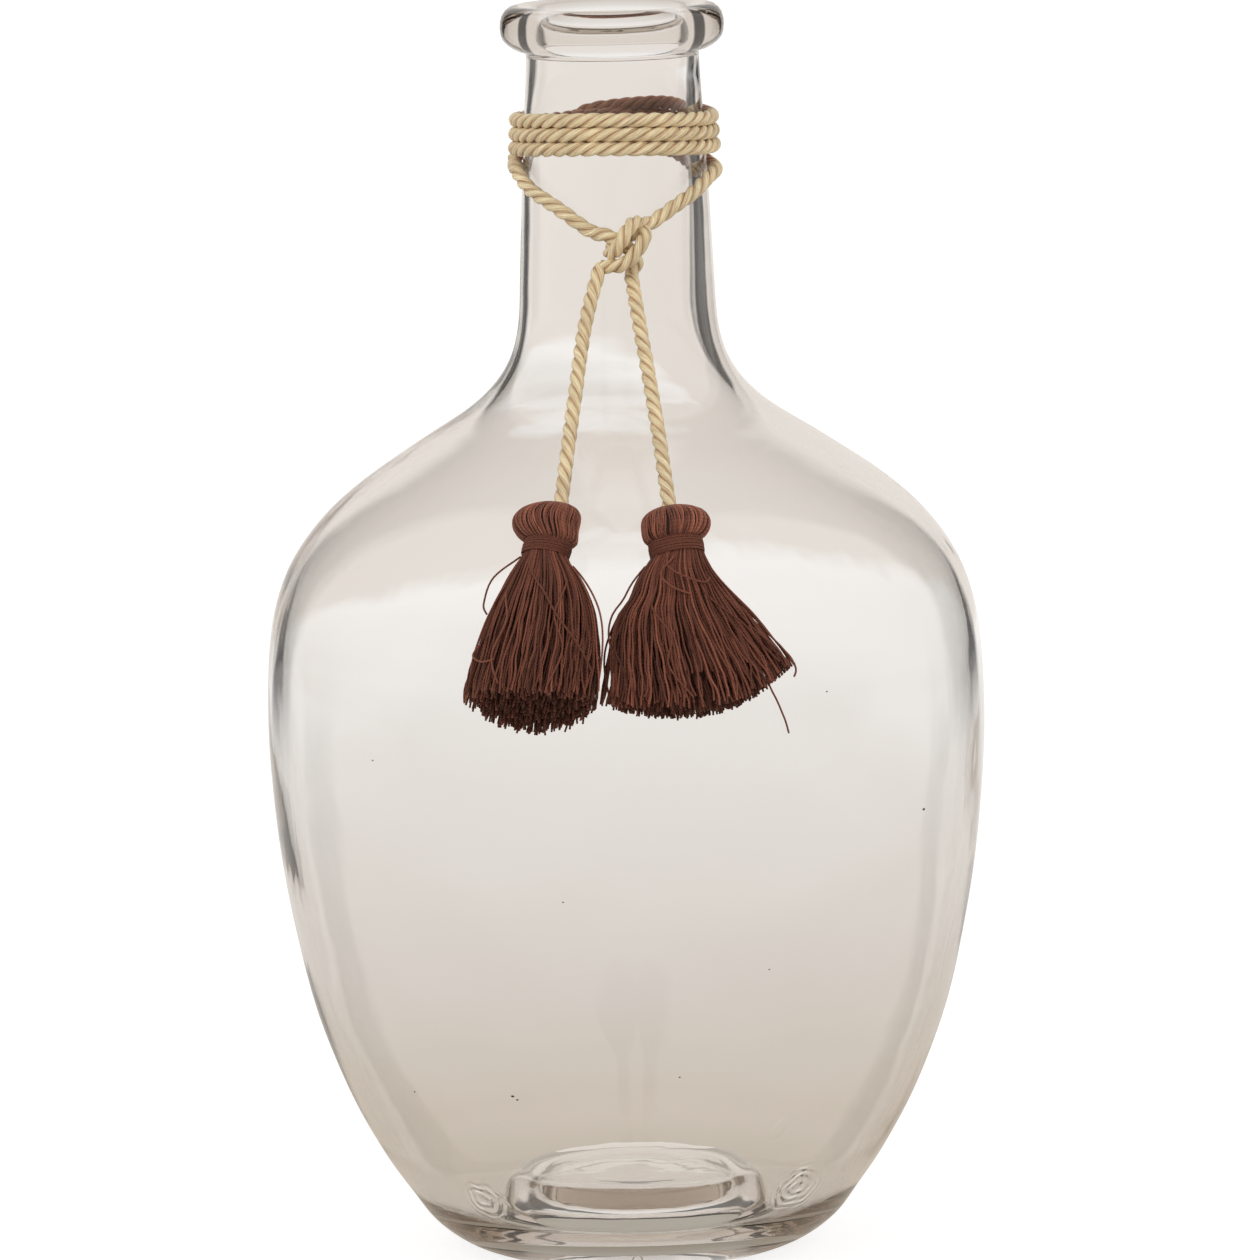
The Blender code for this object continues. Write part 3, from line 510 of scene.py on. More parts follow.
def outer_outline(sizes):
    """(radius, height) from the resting ring's outer edge up to the collar's crest."""
    collar_foot = sizes.height - sizes.collar_height
    ring, belly = sizes.ring_outer_radius, sizes.belly_radius
    foot, top = sizes.neck_foot_radius, sizes.neck_top_radius
    return [
        (ring, 0), *spread(LOWER_BODY_SHARES, (ring, belly), (0, sizes.belly_height)),
        (belly, sizes.belly_height),
        *spread(SHOULDER_SHARES, (foot, belly), (sizes.belly_height, sizes.neck_foot_height)),
        (foot, sizes.neck_foot_height),
        *spread(NECK_SHARES, (top, foot), (sizes.neck_foot_height, collar_foot)),
        (top, collar_foot),
        *spread(COLLAR_SHARES, (top, sizes.collar_radius), (collar_foot, sizes.height)),
        (sizes.crest_radius, sizes.height),
    ]


def radius_at(outline, height):
    """The glass's outer radius at a height, below the collar."""
    for (r0, z0), (r1, z1) in zip(outline, outline[1:]):
        if z0 <= height <= z1 and z1 > z0:
            return between(r0, r1, (height - z0) / (z1 - z0))
    return outline[-1][0]


def faired(points, low, high):
    """The line with its small unevenness smoothed away between two heights."""
    loose = [low < p[1] < high for p in points]
    line = points
    for factor in FAIRING_FACTORS * FAIRING_PASSES:
        inner = [
            tuple(q + ((p + r) / 2 - q) * factor for p, q, r in zip(*near)) if moves else near[1]
            for near, moves in zip(zip(line, line[1:], line[2:]), loose[1:])
        ]
        line = [line[0], *inner, line[-1]]
    return line


def glass_section(sizes):
    """(radius, height, 1 on the inside) along the whole section, from the floor's middle up the
    inside, over the lip and down the outside to the punt's middle."""
    collar_foot = sizes.height - sizes.collar_height
    outer = evened(smooth(outer_outline(sizes), OUTLINE_STEPS), sizes.spacing)
    outer = faired(outer, sizes.heel_top, collar_foot - COLLAR_FILLET)
    throat_foot = collar_foot - sizes.collar_height * THROAT_FOOT_SHARE
    wall = []
    for before, here, after in zip(outer, outer[1:], outer[2:]):
        if sizes.heel_top <= here[1] <= throat_foot:
            run = Vector((after[0] - before[0], after[1] - before[1])).normalized()
            thinned = eased(sizes.neck_foot_height, collar_foot - NECK_THIN_DROP, here[1])
            thick = between(sizes.wall, sizes.neck_wall, thinned)
            wall.append((here[0] - run.y * thick, here[1] + run.x * thick))
    floor, middle = sizes.floor_height, sizes.floor_height + sizes.floor_rise
    collar = (collar_foot, sizes.height)
    inside = evened(smooth([
        (0, middle), *spread(reversed(FLOOR_SHARES), (0, sizes.floor_radius), (floor, middle)),
        (sizes.floor_radius, floor),
        *spread(HEEL_SHARES, (sizes.floor_radius, wall[0][0]), (floor, wall[0][1])),
        *wall[::WALL_SKIP], wall[-1],
        *spread(reversed(THROAT_SHARES), (wall[-1][0], sizes.mouth_radius), collar),
        *spread(reversed(LIP_SHARES), (sizes.crest_radius, sizes.mouth_radius), collar),
    ]), sizes.spacing)
    base = evened(smooth([
        (sizes.ring_inner_radius, 0),
        *spread(PUNT_SHARES, (0, sizes.ring_inner_radius), (0, sizes.punt_depth)),
        (0, sizes.punt_depth),
    ]), sizes.spacing)
    return [(*p, 1.0) for p in inside] + [(*p, 0.0) for p in [*reversed(outer), *base]]


# The cord's route

def turn_height(cord, turn):
    """Height of the winding's slanting turns. turn counts from the front by the left."""
    angle = turn * math.tau
    tilt = cord.winding_tilt * (1 - math.cos(angle)) / 2
    slant = cord.winding_lean * math.sin(angle) - cord.side_drop * math.sin(angle) ** 2
    return cord.first_turn_height - cord.turn_pitch * (turn - 1) - tilt + slant


def crossing_height(cord, turn):
    """Height of the stretch that crosses behind the neck, over the turns, into the first turn."""
    low, top = cord.crossing_low_height, cord.crossing_top_height
    if turn < DIP_SHARE:
        return between(cord.left_edge_height, low, eased(1 / 4, DIP_SHARE, turn))
    if turn < TOP_SHARE:
        return between(low, top, eased(DIP_SHARE, TOP_SHARE, turn))
    return between(top, turn_height(cord, turn), eased(TOP_SHARE, MERGED_SHARE, turn))


def winding_route(cord, outline):
    """The winding, from the neck's left edge, up across the back over the turns, then down in
    turns from the front to the neck's right edge."""
    points = []
    first, last = STEPS_A_TURN // 4, STEPS_A_TURN * 15 // 4
    end = last / STEPS_A_TURN
    drop = turn_height(cord, end) - cord.right_edge_height
    for step in range(first, last + 1):
        turn = step / STEPS_A_TURN
        layer = 0.0
        if turn < 3 / 4:
            height = crossing_height(cord, turn)
            on_turns = eased(*ON_SHARES, turn) * (1 - eased(*OFF_SHARES, turn))
            layer = cord.crossing_lift * on_turns
        else:
            height = turn_height(cord, turn) - drop * eased(end - DROP_SHARE, end, turn)
        reach = radius_at(outline, height) + cord.seat + SEAT_GAP + layer
        angle = turn * math.tau
        points.append((-reach * math.sin(angle), -reach * math.cos(angle), height))
    return points


# Node trees

class Wire:
    """A node's output, with which the sums and products of a tree are written as such."""

    def __init__(self, socket):
        self.socket, self.tree = socket, socket.id_data

    def other(self, name):
        """Another output of the same node."""
        return Wire(self.socket.node.outputs[name])

    def __add__(self, value):
        return maths("ADD", self, value)

    def __sub__(self, value):
        return maths("SUBTRACT", self, value)

    def __mul__(self, value):
        return maths("MULTIPLY", self, value)

    def __truediv__(self, value):
        return maths("DIVIDE", self, value)


def fed(node, feeds):
    """Feeds a node's sockets with values, colours of three parts or wires."""
    for key, value in feeds.items():
        socket = node.inputs[key]
        if isinstance(value, Wire):
            value.tree.links.new(value.socket, socket)
        else:
            socket.default_value = (*value, 1) if socket.type == "RGBA" else value


def add(tree, kind, feeds=None, out=0, **settings):
    """One output of a new node with its settings made and its sockets fed."""
    node = tree.nodes.new(kind)
    for name, value in settings.items():
        setattr(node, name, value)
    fed(node, feeds or {})
    return Wire(node.outputs[out])


def combined(kind, values, out=0, **settings):
    """A node whose first sockets are fed with these values, at least one of them a wire."""
    tree = next(value.tree for value in values if isinstance(value, Wire))
    return add(tree, kind, dict(enumerate(values)), out, **settings)


def maths(operation, *values):
    return combined("ShaderNodeMath", values, operation=operation)


def vectors(operation, *values):
    return combined("ShaderNodeVectorMath", values, operation=operation)


def measured(operation, *values):
    """The number that a vector operation gives."""
    return combined("ShaderNodeVectorMath", values, "Value", operation=operation)


def scaled(vector, factor):
    feeds = {0: vector, "Scale": factor}
    return add(vector.tree, "ShaderNodeVectorMath", feeds, operation="SCALE")


def xyz(*parts):
    return combined("ShaderNodeCombineXYZ", parts)


def split(vector):
    """The three parts of a vector."""
    x = add(vector.tree, "ShaderNodeSeparateXYZ", {0: vector})
    return x, x.other("Y"), x.other("Z")


def ranged(value, low, high, to_low=0.0, to_high=1.0, kind="SMOOTHSTEP"):
    """The value, taken from one range to another and kept inside it."""
    return add(value.tree, "ShaderNodeMapRange", {
        "Value": value, "From Min": low, "From Max": high, "To Min": to_low, "To Max": to_high,
    }, interpolation_type=kind)


def mixed(factor, a, b, blend="MIX"):
    """Two colours mixed, at least one of the three values a wire."""
    tree = next(value.tree for value in (factor, a, b) if isinstance(value, Wire))
    return add(tree, "ShaderNodeMix", {"Factor": factor, "A": a, "B": b}, "Result",
               data_type="RGBA", blend_type=blend)


def noise(vector, scale, detail, roughness=0.5, distortion=0.0, out=0):
    return add(vector.tree, "ShaderNodeTexNoise", {
        "Vector": vector, "Scale": scale, "Detail": detail, "Roughness": roughness,
        "Distortion": distortion,
    }, out)


def bumped(height, strength, distance):
    return add(height.tree, "ShaderNodeBump", {
        "Strength": strength, "Distance": distance, "Height": height,
    })


def ramp(value, stops):
    """The colour of a ramp with the given (place, colour) stops."""
    made = add(value.tree, "ShaderNodeValToRGB", {"Fac": value})
    elements = made.socket.node.color_ramp.elements
    while len(elements) < len(stops):
        elements.new(0.5)
    for element, (place, colour) in zip(elements, stops):
        element.position = place
        element.color = (*colour, 1)
    return made


def grey(level):
    return (level, level, level)


def object_place(tree):
    return add(tree, "ShaderNodeTexCoord", out="Object")


def attribute(tree, name, out):
    return add(tree, "ShaderNodeAttribute", out=out, attribute_name=name)


def dark_gap(x, y):
    """1 in the two dark gaps at the sides of the backdrop, for a place or way from the axis."""
    degrees = maths("ARCTAN2", x, y * -1.0) * (180 / math.pi)
    levels = (0, 1, 1, 0) * 2
    return ramp((degrees + 180.0) / 360.0, [
        ((edge + 180) / 360, grey(level)) for edge, level in zip(GAP_EDGES, levels)
    ])


def rays(tree):
    """1 for what the camera sees itself, and 1 for what the glass bends or reflects."""
    direct = add(tree, "ShaderNodeLightPath", out="Is Camera Ray")
    bent = direct.other("Is Transmission Ray")
    return direct, maths("MAXIMUM", direct.other("Is Glossy Ray"), bent)


def node_group(name, inputs):
    """A geometry tree with the named inputs, and the wires that come from them."""
    tree = bpy.data.node_groups.new(name, "GeometryNodeTree")
    inputs = (("Geometry", "Geometry", None), *inputs, ("Material", "Material", None))
    for label, kind, default in inputs:
        socket = tree.interface.new_socket(label, in_out="INPUT", socket_type="NodeSocket" + kind)
        if default is not None:
            socket.default_value = default
    tree.interface.new_socket("Geometry", in_out="OUTPUT", socket_type="NodeSocketGeometry")
    start = tree.nodes.new("NodeGroupInput")
    return tree, {label: Wire(start.outputs[label]) for label, _, _ in inputs}


def captured(geometry, domain, *fields):
    """The geometry with fields captured on a domain, and the captured fields in order."""
    node = geometry.tree.nodes.new("GeometryNodeCaptureAttribute")
    node.domain = domain
    fed(node, {"Geometry": geometry})
    names = [f"field_{i}" for i in range(len(fields))]
    for name, field in zip(names, fields):
        node.capture_items.new("VECTOR" if field.socket.type == "VECTOR" else "FLOAT", name)
        fed(node, {name: field})
    return [Wire(node.outputs[name]) for name in ("Geometry", *names)]


def stored(geometry, name, value):
    kind = "FLOAT_VECTOR" if value.socket.type == "VECTOR" else "FLOAT"
    return add(geometry.tree, "GeometryNodeStoreNamedAttribute", {
        "Geometry": geometry, "Name": name, "Value": value,
    }, data_type=kind, domain="POINT")


def skinned(line, diameter, sides):
    """The line with a closed round skin."""
    ring = add(line.tree, "GeometryNodeCurvePrimitiveCircle", {
        "Resolution": sides, "Radius": diameter / 2.0,
    }, mode="RADIUS")
    return add(line.tree, "GeometryNodeCurveToMesh", {
        "Curve": line, "Profile Curve": ring, "Fill Caps": True,
    })


def finished(geometry, material):
    """Smooth faces, whole geometry, material, output."""
    tree = geometry.tree
    shaded = add(tree, "GeometryNodeSetShadeSmooth", {"Geometry": geometry})
    whole = add(tree, "GeometryNodeRealizeInstances", {"Geometry": shaded})
    painted = add(tree, "GeometryNodeSetMaterial", {"Geometry": whole, "Material": material})
    fed(tree.nodes.new("NodeGroupOutput"), {0: painted})
    return tree


def placed(name, data):
    """A new object in the scene."""
    made = bpy.data.objects.new(name, data)
    bpy.context.scene.collection.objects.link(made)
    return made


def made_with(tree, name, lines, settings, columns=None):
    """A plain mesh object made by a geometry tree from drawn lines."""
    points, edges = [], []
    for line in lines:
        edges += [(len(points) + i, len(points) + i + 1) for i in range(len(line) - 1)]
        points += line
    mesh = bpy.data.meshes.new(name + "_line")
    mesh.from_pydata(points, edges, [])
    for label, values in (columns or {}).items():
        mesh.attributes.new(label, "FLOAT", "POINT").data.foreach_set("value", values)
    source = placed(name + "_line", mesh)
    modifier = source.modifiers.new(tree.name, "NODES")
    modifier.node_group = tree
    sockets = {
        item.name: item.identifier
        for item in tree.interface.items_tree
        if item.item_type == "SOCKET" and item.in_out == "INPUT"
    }
    for label, value in settings.items():
        modifier[sockets[label]] = value
    graph = bpy.context.evaluated_depsgraph_get()
    result = bpy.data.meshes.new_from_object(source.evaluated_get(graph))
    bpy.data.objects.remove(source)
    bpy.data.meshes.remove(mesh)
    if not result.polygons:
        raise RuntimeError(name + " came out empty")
    result.name = name
    return placed(name, result)


def outward_faces(made):
    """Turns a closed mesh's faces outwards."""
    work = bmesh.new()
    work.from_mesh(made.data)
    bmesh.ops.recalc_face_normals(work, faces=work.faces)
    if work.calc_volume(signed=True) < 0:
        bmesh.ops.reverse_faces(work, faces=work.faces)
    work.to_mesh(made.data)
    work.free()


def blown_glass_tree():
    """Turns a section into glass, uneven as blown glass is, with the neck's bore off centre."""
    tree, given = node_group("blown_glass", (
        ("Segments", "Int", 128), ("Outer wave", "Float", 0.0), ("Inner wave", "Float", 0.0),
        ("Wave size", "Float", 0.05), ("Bore shift", "Float", 0.0),
        ("Bore foot", "Float", 0.0), ("Bore top", "Float", 0.0), ("Seed", "Float", 0.0),
    ))
    section = given["Geometry"]
    rows = add(tree, "GeometryNodeAttributeDomainSize", {"Geometry": section}, "Point Count")
    grid = add(tree, "GeometryNodeMeshGrid", {
        "Size X": 1.0, "Size Y": 1.0, "Vertices X": rows, "Vertices Y": given["Segments"] + 1,
    })
    place = add(tree, "GeometryNodeInputPosition")
    across, up, _ = split(place)
    row = maths("ROUND", (across + 0.5) * (rows - 1))
    angle = (up + 0.5) * math.tau

    def sampled(value, kind):
        return add(tree, "GeometryNodeSampleIndex", {
            "Geometry": section, "Value": value, "Index": row,
        }, "Value", data_type=kind, domain="POINT")

    inner = sampled(add(
        tree, "GeometryNodeInputNamedAttribute", {"Name": "inside"}, "Attribute",
        data_type="FLOAT"), "FLOAT")
    radius, _, height = split(sampled(place, "FLOAT_VECTOR"))
    cosine, sine = maths("COSINE", angle), maths("SINE", angle)
    plain = xyz(radius * cosine, radius * sine, height)
    frequency = maths("DIVIDE", 1.0, given["Wave size"])
    offset = xyz(given["Seed"], inner * 9.0)
    uneven = noise(vectors("ADD", scaled(plain, frequency), offset), 1.0, 1.0, 0.4)
    wave = ranged(inner, 0.0, 1.0, given["Outer wave"], given["Inner wave"], "LINEAR")
    fade = ranged(radius, 0.0, AXIS_FADE, kind="LINEAR")
    rested = maths("MAXIMUM", ranged(height, 0.0, FOOT_FADE, kind="LINEAR"), inner)
    swell = (uneven - 0.5) * 2.0 * wave * fade * rested
    pushed = vectors("ADD", plain, scaled(xyz(cosine, sine), swell))
    foot, top = given["Bore foot"], given["Bore top"]
    in_neck = ranged(height, foot, foot + BORE_FOOT_FADE)
    in_neck *= ranged(height, top, top - BORE_TOP_FADE)
    sideways = xyz(in_neck * inner * given["Bore shift"] * -1.0)
    moved = add(tree, "GeometryNodeSetPosition", {
        "Geometry": grid, "Position": vectors("ADD", pushed, sideways),
    })
    closed = add(tree, "GeometryNodeMergeByDistance", {"Geometry": moved, "Distance": 0.000002})
    return finished(closed, given["Material"])


def laid_cord_tree():
    """Lays three strands round a line into a cord. Each point of the surface knows the way round
    and along its strand, and how far it is from the cord's middle."""
    tree, given = node_group("laid_cord", (
        ("Strands", "Int", 3), ("Cord diameter", "Float", 0.0035),
        ("Strand diameter", "Float", 0.0018), ("Lay length", "Float", 0.0116),
        ("Start turn", "Float", 0.0), ("Sides", "Int", 10), ("Step", "Float", 0.0006),
    ))
    line = add(tree, "GeometryNodeMeshToCurve", {"Mesh": given["Geometry"]})
    line = add(tree, "GeometryNodeResampleCurve", {
        "Curve": line, "Length": given["Step"],
    }, mode="LENGTH")
    place = add(tree, "GeometryNodeInputPosition")
    line, middle, way, side, distance = captured(
        line, "POINT", place, add(tree, "GeometryNodeInputTangent"),
        add(tree, "GeometryNodeInputNormal"),
        add(tree, "GeometryNodeSplineParameter", out="Length"),
    )
    copies = add(tree, "GeometryNodeDuplicateElements", {
        "Geometry": line, "Amount": given["Strands"],
    }, domain="SPLINE")
    line, which = captured(copies, "CURVE", copies.other("Duplicate Index"))
    turns = distance / given["Lay length"] * -1.0 + which / given["Strands"] + given["Start turn"]
    angle = turns * math.tau
    reach = (given["Cord diameter"] - given["Strand diameter"]) / 2.0
    across = vectors("CROSS_PRODUCT", way, side)
    line = add(tree, "GeometryNodeSetPosition", {
        "Geometry": line, "Offset": vectors(
            "ADD", scaled(side, maths("COSINE", angle) * reach),
            scaled(across, maths("SINE", angle) * reach),
        ),
    })
    line, core = captured(line, "POINT", place)
    skin = skinned(line, given["Strand diameter"], given["Sides"])
    out = vectors("SUBTRACT", place, core)
    x, y, _ = split(vectors("NORMALIZE", xyz(
        measured("DOT_PRODUCT", out, side), measured("DOT_PRODUCT", out, across))))
    ridge = measured("DISTANCE", place, middle) / (given["Cord diameter"] / 2.0)
    for name, value in (("lay", xyz(x, y, distance)), ("ridge", ridge), ("strand", which)):
        skin = stored(skin, name, value)
    return finished(skin, given["Material"])


def spun_yarn_tree():
    """Gives lines the thickness of yarn, and each yarn a shade of its own."""
    tree, given = node_group("spun_yarn", (
        ("Diameter", "Float", 0.0006), ("Sides", "Int", 6), ("Seed", "Int", 0),
    ))
    line = add(tree, "GeometryNodeMeshToCurve", {"Mesh": given["Geometry"]})
    own = add(tree, "FunctionNodeRandomValue", {"Seed": given["Seed"]}, 1, data_type="FLOAT")
    line, shade = captured(line, "CURVE", own)
    place = add(tree, "GeometryNodeInputPosition")
    line, core, side, distance = captured(
        line, "POINT", place, add(tree, "GeometryNodeInputNormal"),
        add(tree, "GeometryNodeSplineParameter", out="Length"),
    )
    skin = skinned(line, given["Diameter"], given["Sides"])
    out = vectors("NORMALIZE", vectors("SUBTRACT", place, core))
    lay = xyz(measured("DOT_PRODUCT", out, side), shade, distance)
    return finished(stored(skin, "lay", lay), given["Material"])


# Finishes

def finish_named(name):
    """A new node material, its tree and its shader."""
    made = bpy.data.materials.new(name)
    made.use_nodes = True
    return made, made.node_tree, made.node_tree.nodes["Principled BSDF"]


def glass_finish(sizes):
    """Clear glass with a faint warm grey in its thickness and the marks of blowing. Its mirror
    reflection is weakened, so that it doesn't show the tassels a second time."""
    made, tree, shader = finish_named("clear_warm_grey_glass")
    fed(tree.nodes["Material Output"], {"Volume": add(tree, "ShaderNodeVolumeAbsorption", {
        "Color": sizes.tint, "Density": sizes.tint_density,
    })})
    spot = object_place(tree)
    stretched = add(tree, "ShaderNodeMapping", {"Vector": spot, "Scale": (1, 1, 0.3)})
    height = noise(spot, 42.0, 2.0, 0.45) + noise(stretched, 110.0, 1.5, distortion=0.6) * 0.25
    stir = vectors("SUBTRACT", noise(spot, 160.0, 1.0, out="Color"), grey(0.5))
    warped = vectors("ADD", spot, scaled(stir, 0.0032))
    for centre, reach in RIPPLES:
        away = measured("DISTANCE", warped, centre)
        rings = maths("SINE", away * (math.tau / RIPPLE_WIDTH))
        height += rings * ranged(away, reach, reach * 0.6, 0.0, 0.55)
    fed(shader, {
        "Base Color": grey(1), "Roughness": 0.0, "IOR": 1.5, "Transmission Weight": 1.0,
        "Specular Tint": grey(0.4), "Normal": bumped(height, 1.0, 0.00010),
    })
    return made


def cord_finish(cord):
    """Silky pale-gold yarn: fine fibres along each strand, with painted shade in the grooves
    between the strands and a painted highlight on their crests.
    """
    made, tree, shader = finish_named("pale_gold_cord")
    lay_x, lay_y, along = split(attribute(tree, "lay", "Vector"))
    strand = attribute(tree, "strand", "Fac")
    turned = maths("ARCTAN2", lay_y, lay_x) + along * FIBRE_SLOPE
    fibres = noise(xyz(
        maths("COSINE", turned) * FIBRES_ROUND + strand * STRAND_STEP,
        maths("SINE", turned) * FIBRES_ROUND, along * FIBRES_ALONG,
    ), 2.6, 3.0, 0.7)
    plies = maths("SINE", turned * PLIES)
    # Painted shade and highlight by distance from the cord's middle: darkest in the grooves
    # between the strands, lightest on their crests
    edge = tuple(between(a, b, 0.62) for a, b in zip(cord.painted_groove_shade, cord.colour))
    crest = tuple(min(1, c * 1.12 + 0.03) for c in cord.colour)
    painted_ridge_shading = ramp(attribute(tree, "ridge", "Fac"), (
        (0.50, cord.painted_groove_shade), (0.72, edge), (0.90, cord.colour), (1.0, crest),
    ))
    # The fibre lines vary the cord's tone; their lightest, above the cord's own colour, are a
    # painted silky highlight
    lines = mixed(0.9, painted_ridge_shading, ramp(fibres, (
        (0.36, (0.40, 0.27, 0.15)), (0.47, (0.86, 0.80, 0.72)), (0.55, grey(1.0)),
        (0.66, (1.30, 1.32, 1.38)),
    )), "MULTIPLY")
    # Painted shade: the cord's inner side behind the neck, where it faces the glass, is darkened
    # to a brown tint
    spot = object_place(tree)
    x, y, _ = split(spot)
    facing = measured("DOT_PRODUCT", vectors("NORMALIZE", xyz(x, y)), add(
        tree, "ShaderNodeNewGeometry", out="True Normal"))
    painted_shade_behind = ranged(facing, 0.15, -0.25) * ranged(y, -0.002, 0.006)
    colour = mixed(1.0, lines, mixed(painted_shade_behind, grey(1), cord.painted_shade_tint), "MULTIPLY")
    patches = ranged(noise(spot, 130.0, 2.0), 0.3, 0.7, 0.88, 1.10, "LINEAR")
    fed(shader, {
        "Base Color": add(tree, "ShaderNodeHueSaturation", {"Color": colour, "Value": patches}),
        "Roughness": 0.46, "Sheen Weight": 0.25, "Sheen Roughness": 0.4,
        "Normal": bumped(plies * 0.35 + fibres, 0.8, 0.00012),
    })
    return made


def yarn_finish(tassels, name, lightness, sheen):
    """Brown cotton, each yarn of its own tone, twisted, with a faint sheen. Its lightness gives
    the lighter and darker copies of the cotton that paint light and shade.
    """
    made, tree, shader = finish_named(name)
    across, shade, along = split(attribute(tree, "lay", "Vector"))
    plies = maths("SINE", along * TWIST_ALONG + across * TWIST_ROUND)
    own = ramp(shade, [
        (place, tuple(c * lightness * factor for c in tassels.colour))
        for place, factor in ((0.0, 0.42), (0.5, 0.92), (0.90, 1.30), (1.0, 1.75))
    ])
    fluff = noise(object_place(tree), 900.0, 3.0)
    value = plies * 0.10 + maths("MULTIPLY_ADD", fluff, 0.5, 0.75)
    fed(shader, {
        "Base Color": add(tree, "ShaderNodeHueSaturation", {"Color": own, "Value": value}),
        "Roughness": 0.72, "Specular IOR Level": 0.25, "Sheen Weight": sheen,
        "Sheen Roughness": 0.45, "Sheen Tint": (0.85, 0.60, 0.50),
        "Normal": bumped(plies + fluff, 0.7, 0.00006),
    })
    return made


def painted_shade_core_finish(tassels):
    """The dark filling under a tassel's outer yarns: painted shade, darker than the cotton itself.
    """
    made, tree, shader = finish_named("packed_cotton_core")
    # Painted shade: the cotton's colour darkened for the filling
    dark = tuple(c * 0.22 for c in tassels.colour)
    packed = noise(object_place(tree), 1500.0, 2.0)
    fed(shader, {
        "Base Color": ramp(packed, ((0.3, tuple(c * 0.4 for c in dark)), (0.7, dark))),
        "Roughness": 0.9,
    })
    return made


# Tassels

